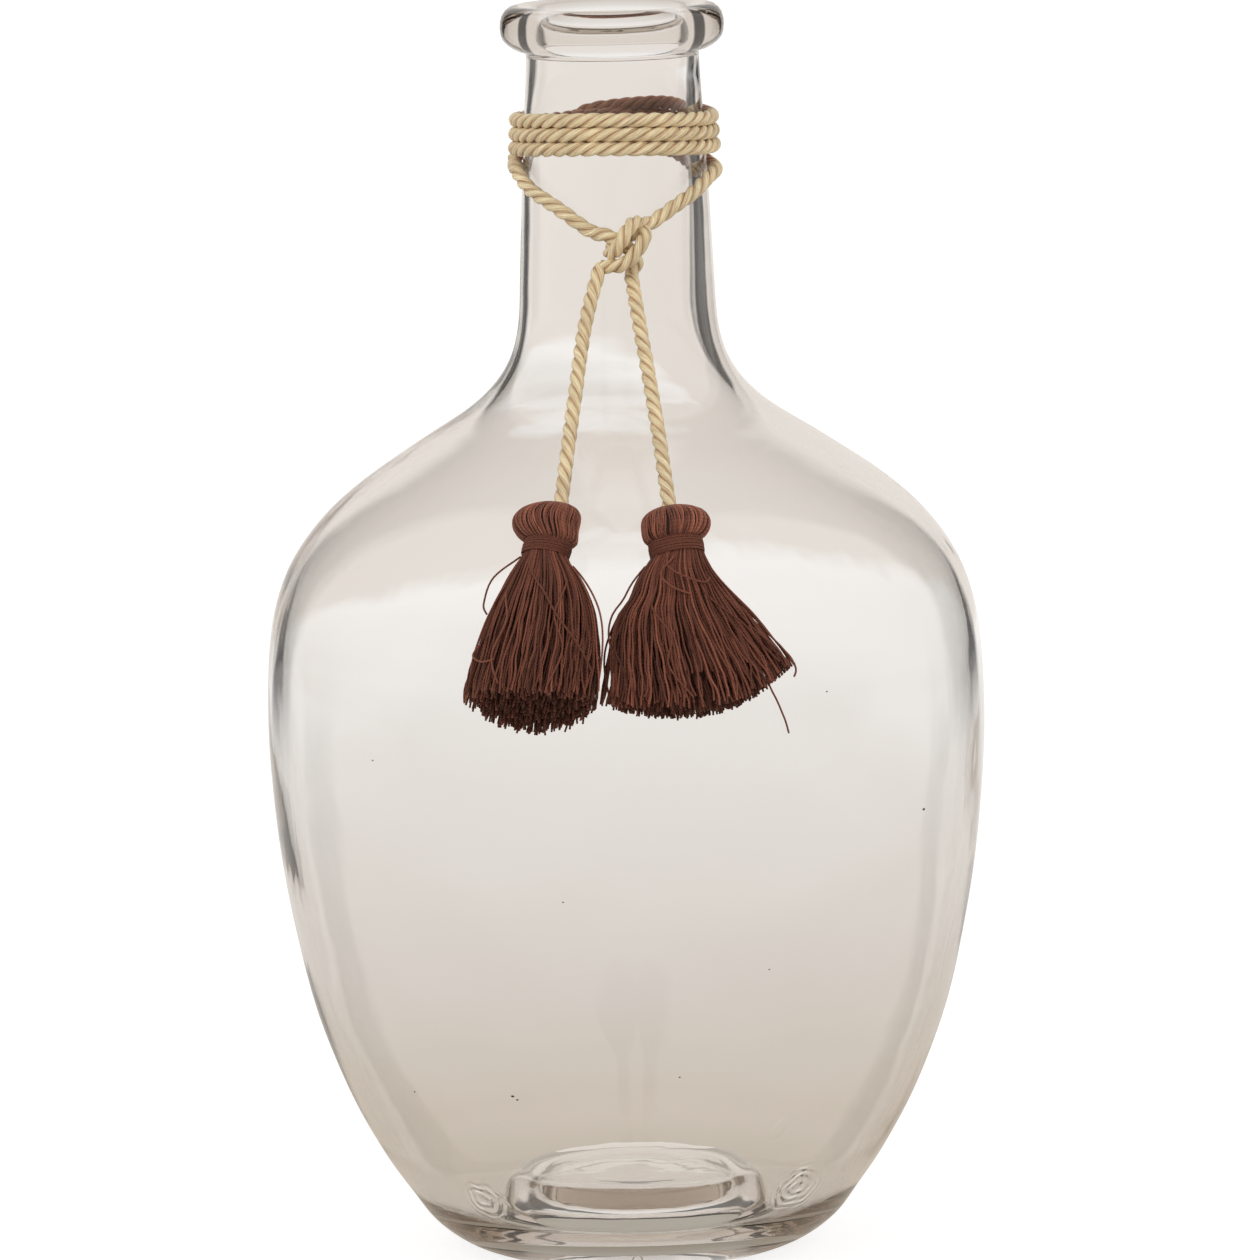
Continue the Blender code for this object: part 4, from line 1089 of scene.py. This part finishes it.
class Tassel:
    """One tassel's places and sizes in the frame, and the lines of its yarns."""

    def __init__(self, hand, sizes, outline):
        vars(self).update(TASSELS[hand])
        self.sizes, self.outline = sizes, outline
        self.top = Vector(JOINTS[hand + "_tassel_lift"]["pos_m"])
        self.line = (Vector(self.waist_aim) - self.top).normalized()
        reach = sizes.stem + self.head_length + sizes.binding_width / 2
        self.waist, self.hem = self.top + self.line * reach, Vector(self.hem)
        self.crown = self.top + self.line * sizes.stem
        self.fine = smooth(self.shares)
        _, self.sideways, self.outward = self.frame_at(0)

    def frame_at(self, share):
        """Middle, way sideways and way out at a share of the skirt."""
        waist, hem = self.waist, self.hem
        half = (hem - waist) / 2
        bend = waist + half.lerp(self.line * half.length, BEND_SHARE)
        middle = waist * (1 - share) ** 2 + bend * 2 * share * (1 - share) + hem * share**2
        along = ((bend - waist) * (1 - share) + (hem - bend) * share).normalized()
        sideways = Vector((middle.x, middle.y, 0)).normalized().cross(along).normalized()
        return middle, sideways, along.cross(sideways)

    def around(self, centre, reach, angle):
        """The place at an angle round the head's line."""
        return (
            centre + self.sideways * reach * math.cos(angle)
            + self.outward * reach * math.sin(angle)
        )

    def seated(self, point):
        """The point, moved straight out from the glass's axis if it lies too near the glass."""
        reach, step = math.hypot(point.x, point.y), 0.001
        low, here, high = (radius_at(self.outline, point.z + move) for move in (-step, 0, step))
        gap = self.sizes.yarn_diameter * SKIRT_GAP_SHARE
        least = here + gap * math.hypot(1, (high - low) / (2 * step))
        if reach < least:
            return Vector((point.x * least / reach, point.y * least / reach, point.z))
        return point

    def point(self, along, angle, depth):
        """A place on the skirt: a share of its length, an angle round it and a share of its
        reach."""
        start = self.sizes.binding_width / 2 / (self.hem - self.waist).length
        middle, across, front = self.frame_at(between(start, 1, along))
        free = max(along, 0)
        _, out, lean = looked_up(self.fine, free)
        middle = middle + across * self.half_width * lean
        width = between(self.waist_radius, self.half_width, out)
        height = between(self.waist_radius, self.half_depth, out)
        rise = self.rises[1] if math.cos(angle) > 0 else self.rises[0]
        lift = rise * free**self.rise_power * (math.cos(angle) * depth) ** 2
        lift += self.front_rise * free**3 * math.sin(angle) * depth
        return self.seated(
            middle + across * width * depth * math.cos(angle)
            + front * height * depth * math.sin(angle) + front.cross(across) * lift
        )

    def skirt_lines(self, layers, seed):
        """Lines of the skirt's yarns, drawn into locks, with some that cross over others."""
        chance = random.Random(seed)
        perimeter = math.pi * (self.half_width + self.half_depth)
        outer = round(perimeter / self.sizes.yarn_diameter * OUTER_YARNS_SHARE)
        lines = []
        for depth, share, start in layers:
            count = round(outer * share)
            layer = OUTSIDE if depth > OUTSIDE_DEPTH else WITHIN
            locks = layer["locks"]
            front_cut = self.short_front and depth > 0.9
            for i in range(count):
                angle = (i + chance.uniform(-0.5, 0.5)) / count * math.tau
                lock = round(angle / math.tau * locks) + chance.uniform(-0.3, 0.3)
                lock = lock / locks * math.tau
                pull = chance.uniform(0.0, 0.55)
                reach = depth * chance.uniform(0.90, 1.02)
                manner = STRAYING if chance.random() < STRAY_SHARE else LYING
                sway, splay = chance.uniform(*manner["sway"]), chance.uniform(*layer["splay"])
                cut = 1 + chance.gauss(0, 1) * self.sizes.rag / RAG_RUN
                cut = min(max(cut, CUT_LIMITS[0]), CUT_LIMITS[1]) + layer["extra"]
                if chance.random() < SHORT_SHARE:
                    cut -= chance.uniform(*SHORT_CUTS)
                in_front = FRONT_ANGLES[0] < angle < FRONT_ANGLES[1]
                if front_cut and in_front and chance.random() < FRONT_SHARE:
                    cut -= chance.uniform(*FRONT_CUTS)
                wave, phase = chance.uniform(0.4, 1.3), chance.uniform(0, math.tau)
                kink, start_kink = chance.uniform(0.3, 1.5), chance.uniform(0, math.tau)
                line = []
                steps = round(between(8, 22, 1 - start))
                for k in range(steps + 1):
                    along = between(start, cut, k / steps)
                    free = max(along, 0)
                    draw = pull * eased(0.0, 0.55, along) * (1 - 0.35 * eased(0.7, 1.05, along))
                    turned = between(angle, lock, draw) + sway * free
                    turned += layer["rough"] * wave * math.sin(along * 9 + phase) * free
                    turned += 0.011 * kink * math.sin(along * 26 + start_kink) * free**0.5
                    turned += 0.006 * chance.uniform(-1, 1) * free
                    swell = manner["billow"] * wave * free * math.sin(along * 7 + phase * 2)
                    out = reach * (1 + swell)
                    out += 0.008 * kink * math.sin(along * 21 + phase) * free
                    out += splay * (along - start) * depth
                    line.append(self.point(along, turned, min(out, 1.05)))
                lines.append(line)
        return lines

    def head_lines(self, seed):
        """Lines of the yarns that fold over the cord's end and run down the head."""
        chance = random.Random(seed)
        yarn = self.sizes.yarn_diameter
        profile = smooth(HEAD_SHARES)
        profile = profile[::2] + [profile[-1]]
        lines = []
        for i in range(self.sizes.head_yarns):
            angle = (i + chance.uniform(-0.3, 0.3)) / self.sizes.head_yarns * math.tau
            swing = chance.uniform(-HEAD_SWING, HEAD_SWING)
            swing += self.head_shift * HEAD_SHIFT_SWING * math.sin(angle)
            fat = chance.uniform(*HEAD_VARIES)
            line = [
                self.around(
                    self.crown + self.line * self.head_length * along + self.head_sway(along),
                    between(HEAD_BORE, self.head_radius - yarn / 2, out) + fat,
                    angle + swing * along,
                )
                for along, out in profile
            ]
            folded = line[0] + self.line * FOLD_DROP - (line[0] - self.crown) * FOLD_SHARE
            line.insert(0, folded)
            line.append(self.around(self.waist, self.waist_radius - yarn * 0.3, angle + swing))
            lines.append(line)
        return lines

    def head_sway(self, along):
        """How far the head's middle lies beside its line, at a share of its length."""
        return self.sideways * self.head_shift * math.sin(min(along, 1) * math.pi)

    def binding_line(self, seed):
        """One long yarn wound round the waist, in turns that lie close."""
        chance = random.Random(seed)
        width, yarn = self.sizes.binding_width, self.sizes.binding_diameter
        steps = round(width / (yarn * BINDING_PITCH) * BINDING_STEPS)
        line = []
        for k in range(steps + 1):
            angle = k / BINDING_STEPS * math.tau + BINDING_START
            along = between(-0.5, 0.5, k / steps) * (width - yarn)
            along += BINDING_WANDER * math.sin(angle * 0.37 + seed)
            swell = math.cos(along / width * math.pi) * BINDING_SWELL
            reach = self.waist_radius + BINDING_REACH + swell
            reach += chance.uniform(-BINDING_VARIES, BINDING_VARIES)
            line.append(self.around(self.waist + self.line * along, reach, angle))
        return line

    def filling(self, name, finish, count=32):
        """The closed dark filling of painted shade: the head, the waist and the inside of the
        skirt.
        """
        angles = [i / count * math.tau for i in range(count)]
        inset = self.sizes.yarn_diameter * FILLING_INSET_SHARE
        rings = []
        for along, out in HEAD_SHARES[1:]:
            down = self.head_length * along + inset * 0.5
            centre = self.crown + self.line * down + self.head_sway(along)
            reach = between(HEAD_BORE, self.head_radius, out) - inset
            rings.append([self.around(centre, reach, angle) for angle in angles])
        for along in FILLING_RINGS:
            depth = between(*FILLING_DEPTHS, along)
            rings.append([self.point(along, angle, depth) for angle in angles])
        points = [p for ring in rings for p in ring]
        first, last, base = len(points), len(points) + 1, len(points) - count
        points += [sum(ring, Vector()) / count for ring in (rings[0], rings[-1])]
        pairs = [(i, (i + 1) % count) for i in range(count)]
        faces = [
            (r + i, r + j, r + count + j, r + count + i)
            for r in range(0, base, count) for i, j in pairs
        ]
        for i, j in pairs:
            faces += [(first, j, i), (last, base + i, base + j)]
        mesh = bpy.data.meshes.new(name)
        mesh.from_pydata(points, [], faces)
        mesh.validate()
        mesh.shade_smooth()
        mesh.materials.append(finish)
        made = placed(name, mesh)
        outward_faces(made)
        return made

    def end_knot(self, name, cord):
        """The small knot on the cord's end that the head's yarns are folded over."""
        centre = self.top + self.line * (self.head_length / 2 + END_KNOT_DROP)
        path = []
        for k in range(END_KNOT_STEPS + 1):
            share = k / END_KNOT_STEPS
            angle = share * math.tau * END_KNOT_TURNS
            wide = END_KNOT_RADIUS * (1 + 0.15 * math.cos(angle * 2))
            rise = self.line * between(-END_KNOT_RISE, END_KNOT_RISE, share)
            path.append(tuple(self.around(centre, wide, angle) + rise))
        return made_with(bpy.data.node_groups["laid_cord"], name, [path], {
            "Cord diameter": cord.diameter * END_KNOT_SCALE,
            "Strand diameter": cord.strand_diameter * END_KNOT_SCALE,
            "Lay length": cord.lay_length * END_KNOT_SCALE, "Start turn": 0.0,
            "Material": bpy.data.materials["pale_gold_cord"],
        })


# Operators

class DEMIJOHN_OT_blow_glass(bpy.types.Operator):
    """Makes the glass: body, neck, rolled lip and thick base in one piece"""

    bl_idname = "demijohn.blow_glass"
    bl_label = "Blow glass"

    def execute(self, context):
        sizes = context.scene.demijohn_glass
        section = glass_section(sizes)
        line = [(r, 0, z) for r, z, _ in section]
        glass = made_with(blown_glass_tree(), "blown_glass", [line], {
            "Segments": sizes.segments, "Outer wave": sizes.outer_wave,
            "Inner wave": sizes.inner_wave, "Wave size": sizes.wave_size,
            "Bore shift": sizes.bore_shift, "Bore foot": sizes.neck_foot_height - BORE_FOOT_DROP,
            "Bore top": sizes.height - sizes.collar_height, "Seed": GLASS_SEED,
            "Material": glass_finish(sizes),
        }, {"inside": [flag for _, _, flag in section]})
        outward_faces(glass)
        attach(glass, "bottle")
        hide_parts("glass_bottle")
        seeds = self.seeds(outer_outline(sizes), sizes)
        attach(seeds, "bottle")
        return {"FINISHED"}

    def seeds(self, outline, sizes):
        """Small dark seeds inside the front wall."""
        work = bmesh.new()
        for x, z, radius in SEEDS:
            reach = radius_at(outline, z) - sizes.wall / 2
            place = Matrix.Translation((x, -math.sqrt(reach * reach - x * x), z))
            stretch = Matrix.Diagonal((1.5, 1.0, 0.9, 1.0))
            bmesh.ops.create_icosphere(
                work, subdivisions=2, radius=radius, matrix=place @ stretch,
            )
        mesh = bpy.data.meshes.new("glass_seeds")
        work.to_mesh(mesh)
        work.free()
        mesh.shade_smooth()
        made, _, shader = finish_named("dark_seed")
        fed(shader, {"Base Color": (0.05, 0.045, 0.04), "Roughness": 0.3})
        mesh.materials.append(made)
        return placed("glass_seeds", mesh)


class DEMIJOHN_OT_wind_cord(bpy.types.Operator):
    """Winds the cord round the neck, ties it in front and hangs its two ends"""

    bl_idname = "demijohn.wind_cord"
    bl_label = "Wind and tie the cord"

    def execute(self, context):
        cord = context.scene.demijohn_cord
        outline = outer_outline(context.scene.demijohn_glass)
        tree, finish = laid_cord_tree(), cord_finish(cord)
        swings = {hand: tuple(JOINTS[hand + "_tail_swing"]["pos_m"]) for hand in HANDS}
        route = [
            swings["left"], *reversed(LOOPING_STRAND_ROUTE), *reversed(RIGHT_SPAN_ROUTE),
            *reversed(winding_route(cord, outline)), *LEFT_SPAN_ROUTE, *FALLING_STRAND_ROUTE,
            swings["right"],
        ]
        self.lay("neck_cord", route, tree, cord, finish, 0.0, "neck_cord", (
            "neck_winding", "left_front_span", "right_front_span", "front_knot",
        ), "object", "taut")
        for hand, (tail, turn) in TAILS.items():
            lift = Vector(JOINTS[hand + "_tassel_lift"]["pos_m"])
            end = lift + (lift - Vector(tail[-1])).normalized() * TAIL_END_RUN
            self.lay(
                hand + "_tail_cord", [swings[hand], *tail, tuple(lift), tuple(end)], tree, cord,
                finish, turn, hand + "_tail", (hand + "_tail",), "knot", "hanging",
            )
        return {"FINISHED"}

    def lay(self, name, route, tree, cord, finish, turn, body, nodes, far_end, lay):
        path = evened(smooth(route), ROUTE_SPACING)
        piece = made_with(tree, name, [path], {
            "Cord diameter": cord.diameter, "Strand diameter": cord.strand_diameter,
            "Lay length": cord.lay_length, "Start turn": turn, "Material": finish,
        })
        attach(piece, body)
        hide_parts(*nodes)


class DEMIJOHN_OT_make_tassels(bpy.types.Operator):
    """Makes both cotton tassels: heads, bound waists, skirts, a filling of painted shade and
    hidden end knots
    """

    bl_idname = "demijohn.make_tassels"
    bl_label = "Make the tassels"

    def execute(self, context):
        sizes = context.scene.demijohn_tassel
        outline = outer_outline(context.scene.demijohn_glass)
        tree = spun_yarn_tree()
        yarn = yarn_finish(sizes, "chocolate_cotton_yarn", 1.0, 0.10)
        # The heads' yarns: a lighter copy of the cotton, painted light
        taut = yarn_finish(sizes, "stretched_cotton_yarn", 1.42, 0.35)
        # The inner brush's yarns: a darker copy of the cotton, painted shade
        shaded = yarn_finish(sizes, "shaded_cotton_yarn", 0.66, 0.06)
        core = painted_shade_core_finish(sizes)
        for order, hand in enumerate(HANDS):
            tassel = Tassel(hand, sizes, outline)
            seed = sizes.seed + SEED_STEP * order
            body = hand + "_tassel"

            def spun(name, lines, diameter, finish, step, sides):
                return made_with(tree, name, lines, {
                    "Diameter": diameter, "Sides": sides, "Seed": seed + step, "Material": finish,
                })

            lines = tassel.skirt_lines(SKIRT_LAYERS, seed)
            lines += [[tassel.point(*stop) for stop in smooth(stops)] for stops in STRAYS[hand]]
            if hand == "right":
                lines.append(smooth(HANGING_THREAD, 3))
            skirt = spun(hand + "_skirt_yarns", lines, sizes.yarn_diameter, yarn, 0, 5)
            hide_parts(hand + "_tassel_yarn")
            lines = tassel.skirt_lines(BRUSH_LAYERS, seed + 3)
            brush = spun(hand + "_brush_yarns", lines, sizes.yarn_diameter, shaded, 3, 5)
            head = spun(
                hand + "_head_yarns", tassel.head_lines(seed + 1),
                sizes.yarn_diameter * HEAD_YARN_SHARE, taut, 1, 6,
            )
            lines = [tassel.binding_line(seed + 2)]
            binding = spun(hand + "_binding_yarn", lines, sizes.binding_diameter, yarn, 2, 6)
            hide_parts(hand + "_tassel_binding")
            filling = tassel.filling(hand + "_tassel_filling", core)
            knot = tassel.end_knot(hand + "_end_knot", context.scene.demijohn_cord)
            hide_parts(hand + "_tail_knot")
            for piece in (skirt, brush, head, binding, filling, knot):
                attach(piece, body)
        return {"FINISHED"}


class DEMIJOHN_OT_set_stage(bpy.types.Operator):
    """Sets the floor, the light and the camera"""

    bl_idname = "demijohn.set_stage"
    bl_label = "Set the stage"

    def execute(self, context):
        stage = context.scene.demijohn_stage
        context.scene.view_settings.view_transform = "Standard"
        self.floor()
        self.world(context, stage)
        for name, place, share in LAMPS:
            lamp = bpy.data.lights.new(name, "AREA")
            lamp.energy = stage.lamp_power * share
            lamp.size = LAMP_SIZE
            shine = placed(name, lamp)
            shine.location = place
            aim = Vector(LAMP_AIM) - Vector(place)
            shine.rotation_euler = aim.to_track_quat("-Z", "Y").to_euler()
            shine.visible_glossy = False
            shine.visible_transmission = False
        self.camera(context, stage)
        for kind in ("max_bounces", "transmission_bounces", "glossy_bounces"):
            setattr(context.scene.cycles, kind, stage.bounces)
        return {"FINISHED"}

    def floor(self):
        """A pale floor that is white to the camera apart from a soft shadow, and falls off to a
        warm grey near the bottle where it is seen in or through the glass: there it glows, with a
        painted shadow of the bottle and a painted light patch by its base."""
        made, tree, shader = finish_named("pale_floor")
        tree.nodes.remove(shader)
        direct, through = rays(tree)
        x, y, _ = split(object_place(tree))
        distance = measured("LENGTH", xyz(x, y))
        # Painted shadow of the bottle, by distance from the axis
        near = ramp(distance / FADE_REACH, FLOOR_SHADOW_TONES)
        near = mixed(dark_gap(x, y) * ranged(distance, 0.55, 1.35), near, grey(0.10))
        # A painted light patch in front of and behind the base, outside the resting ring
        patch = ranged(maths("ABSOLUTE", x), *PATCH_EDGES) * ranged(distance, *PATCH_DISTANCES)
        patch *= maths("GREATER_THAN", distance, PATCH_START)
        near = mixed(patch, near, (1.0, 0.97, 0.93))
        seen = mixed(ranged(y, -0.05, -0.35), near, (0.62, 0.58, 0.51))
        glow = add(tree, "ShaderNodeEmission", {"Color": seen, "Strength": 1.0})
        matt = add(tree, "ShaderNodeBsdfDiffuse", {"Color": (0.42, 0.41, 0.40)})
        lit = add(tree, "ShaderNodeEmission", {"Color": grey(1), "Strength": 0.80})
        plain = add(tree, "ShaderNodeBsdfDiffuse", {"Color": (0.8, 0.78, 0.75)})
        shown = combined("ShaderNodeAddShader", (matt, lit))
        shown = combined("ShaderNodeMixShader", (direct, plain, shown))
        fed(tree.nodes["Material Output"], {
            "Surface": combined("ShaderNodeMixShader", (through, shown, glow)),
        })
        mesh = bpy.data.meshes.new("floor")
        corners = [(x, y, 0) for x, y in ((-1, -1), (1, -1), (1, 1), (-1, 1))]
        mesh.from_pydata([Vector(p) * FLOOR_REACH for p in corners], [], [(0, 1, 2, 3)])
        mesh.materials.append(made)
        floor = placed("floor", mesh)

    def world(self, context, stage):
        """White to the camera, even for matt surfaces, and a bright room with two dark gaps for
        what the glass bends and reflects."""
        world = bpy.data.worlds.new("bright_room")
        context.scene.world = world
        world.use_nodes = True
        tree = world.node_tree
        tree.nodes.clear()
        direct, through = rays(tree)
        x, y, z = split(add(tree, "ShaderNodeTexCoord", out="Generated"))
        height = maths("ARCSINE", z) * (180 / math.pi)
        room = mixed(
            1.0, mixed(dark_gap(x, y), grey(1.0), grey(0.12)),
            ramp((height + 90.0) / 180.0, ROOM_TONES), "MULTIPLY",
        )
        plain = mixed(direct, grey(stage.fill_level), grey(1))
        sky = add(tree, "ShaderNodeBackground", {
            "Color": mixed(through, plain, room), "Strength": 1.0,
        })
        fed(tree.nodes.new("ShaderNodeOutputWorld"), {"Surface": sky})

    def camera(self, context, stage):
        """The photograph's view: from in front, a little above, leaning slightly."""
        data = bpy.data.cameras.new("camera")
        data.lens = stage.lens
        data.sensor_width = 36
        data.clip_end = 30
        camera = placed("camera", data)
        slope = stage.elevation
        back = Vector((0, -math.cos(slope), math.sin(slope)))
        right, up = Vector((1, 0, 0)), Vector((0, math.sin(slope), math.cos(slope)))
        lean, keep = math.sin(stage.roll), math.cos(stage.roll)
        across = right * keep - up * lean
        upright = right * lean + up * keep
        target = Vector((0, 0, stage.target_height))
        place = target + back * stage.distance + across * stage.sideways
        camera.matrix_world = Matrix((
            (across.x, upright.x, back.x, place.x), (across.y, upright.y, back.y, place.y),
            (across.z, upright.z, back.z, place.z), (0, 0, 0, 1),
        ))
        context.scene.camera = camera


class DEMIJOHN_PT_sidebar(bpy.types.Panel):
    """Lists the pieces and their sizes"""

    bl_idname = "DEMIJOHN_PT_sidebar"
    bl_label = "Demijohn"
    bl_space_type = "VIEW_3D"
    bl_region_type = "UI"
    bl_category = "Demijohn"

    def draw(self, context):
        for group, operator in (
            ("demijohn_glass", "demijohn.blow_glass"), ("demijohn_cord", "demijohn.wind_cord"),
            ("demijohn_tassel", "demijohn.make_tassels"), ("demijohn_stage", "demijohn.set_stage"),
        ):
            box = self.layout.box()
            box.operator(operator)
            sizes = getattr(context.scene, group)
            for name in sizes.__annotations__:
                box.prop(sizes, name)


GROUPS = {
    "demijohn_glass": GlassSizes, "demijohn_cord": CordSizes, "demijohn_tassel": TasselSizes,
    "demijohn_stage": StageSizes,
}
CLASSES = (
    *GROUPS.values(), DEMIJOHN_OT_blow_glass, DEMIJOHN_OT_wind_cord, DEMIJOHN_OT_make_tassels,
    DEMIJOHN_OT_set_stage, DEMIJOHN_PT_sidebar,
)


def register():
    for cls in CLASSES:
        bpy.utils.register_class(cls)
    for name, group in GROUPS.items():
        setattr(bpy.types.Scene, name, bpy.props.PointerProperty(type=group))


def unregister():
    for name in GROUPS:
        delattr(bpy.types.Scene, name)
    for cls in reversed(CLASSES):
        bpy.utils.unregister_class(cls)


def main():
    register()
    bpy.ops.demijohn.set_stage()
    bpy.ops.demijohn.wind_cord()
    bpy.ops.demijohn.blow_glass()
    bpy.ops.demijohn.make_tassels()


if __name__ == "__main__":
    main()
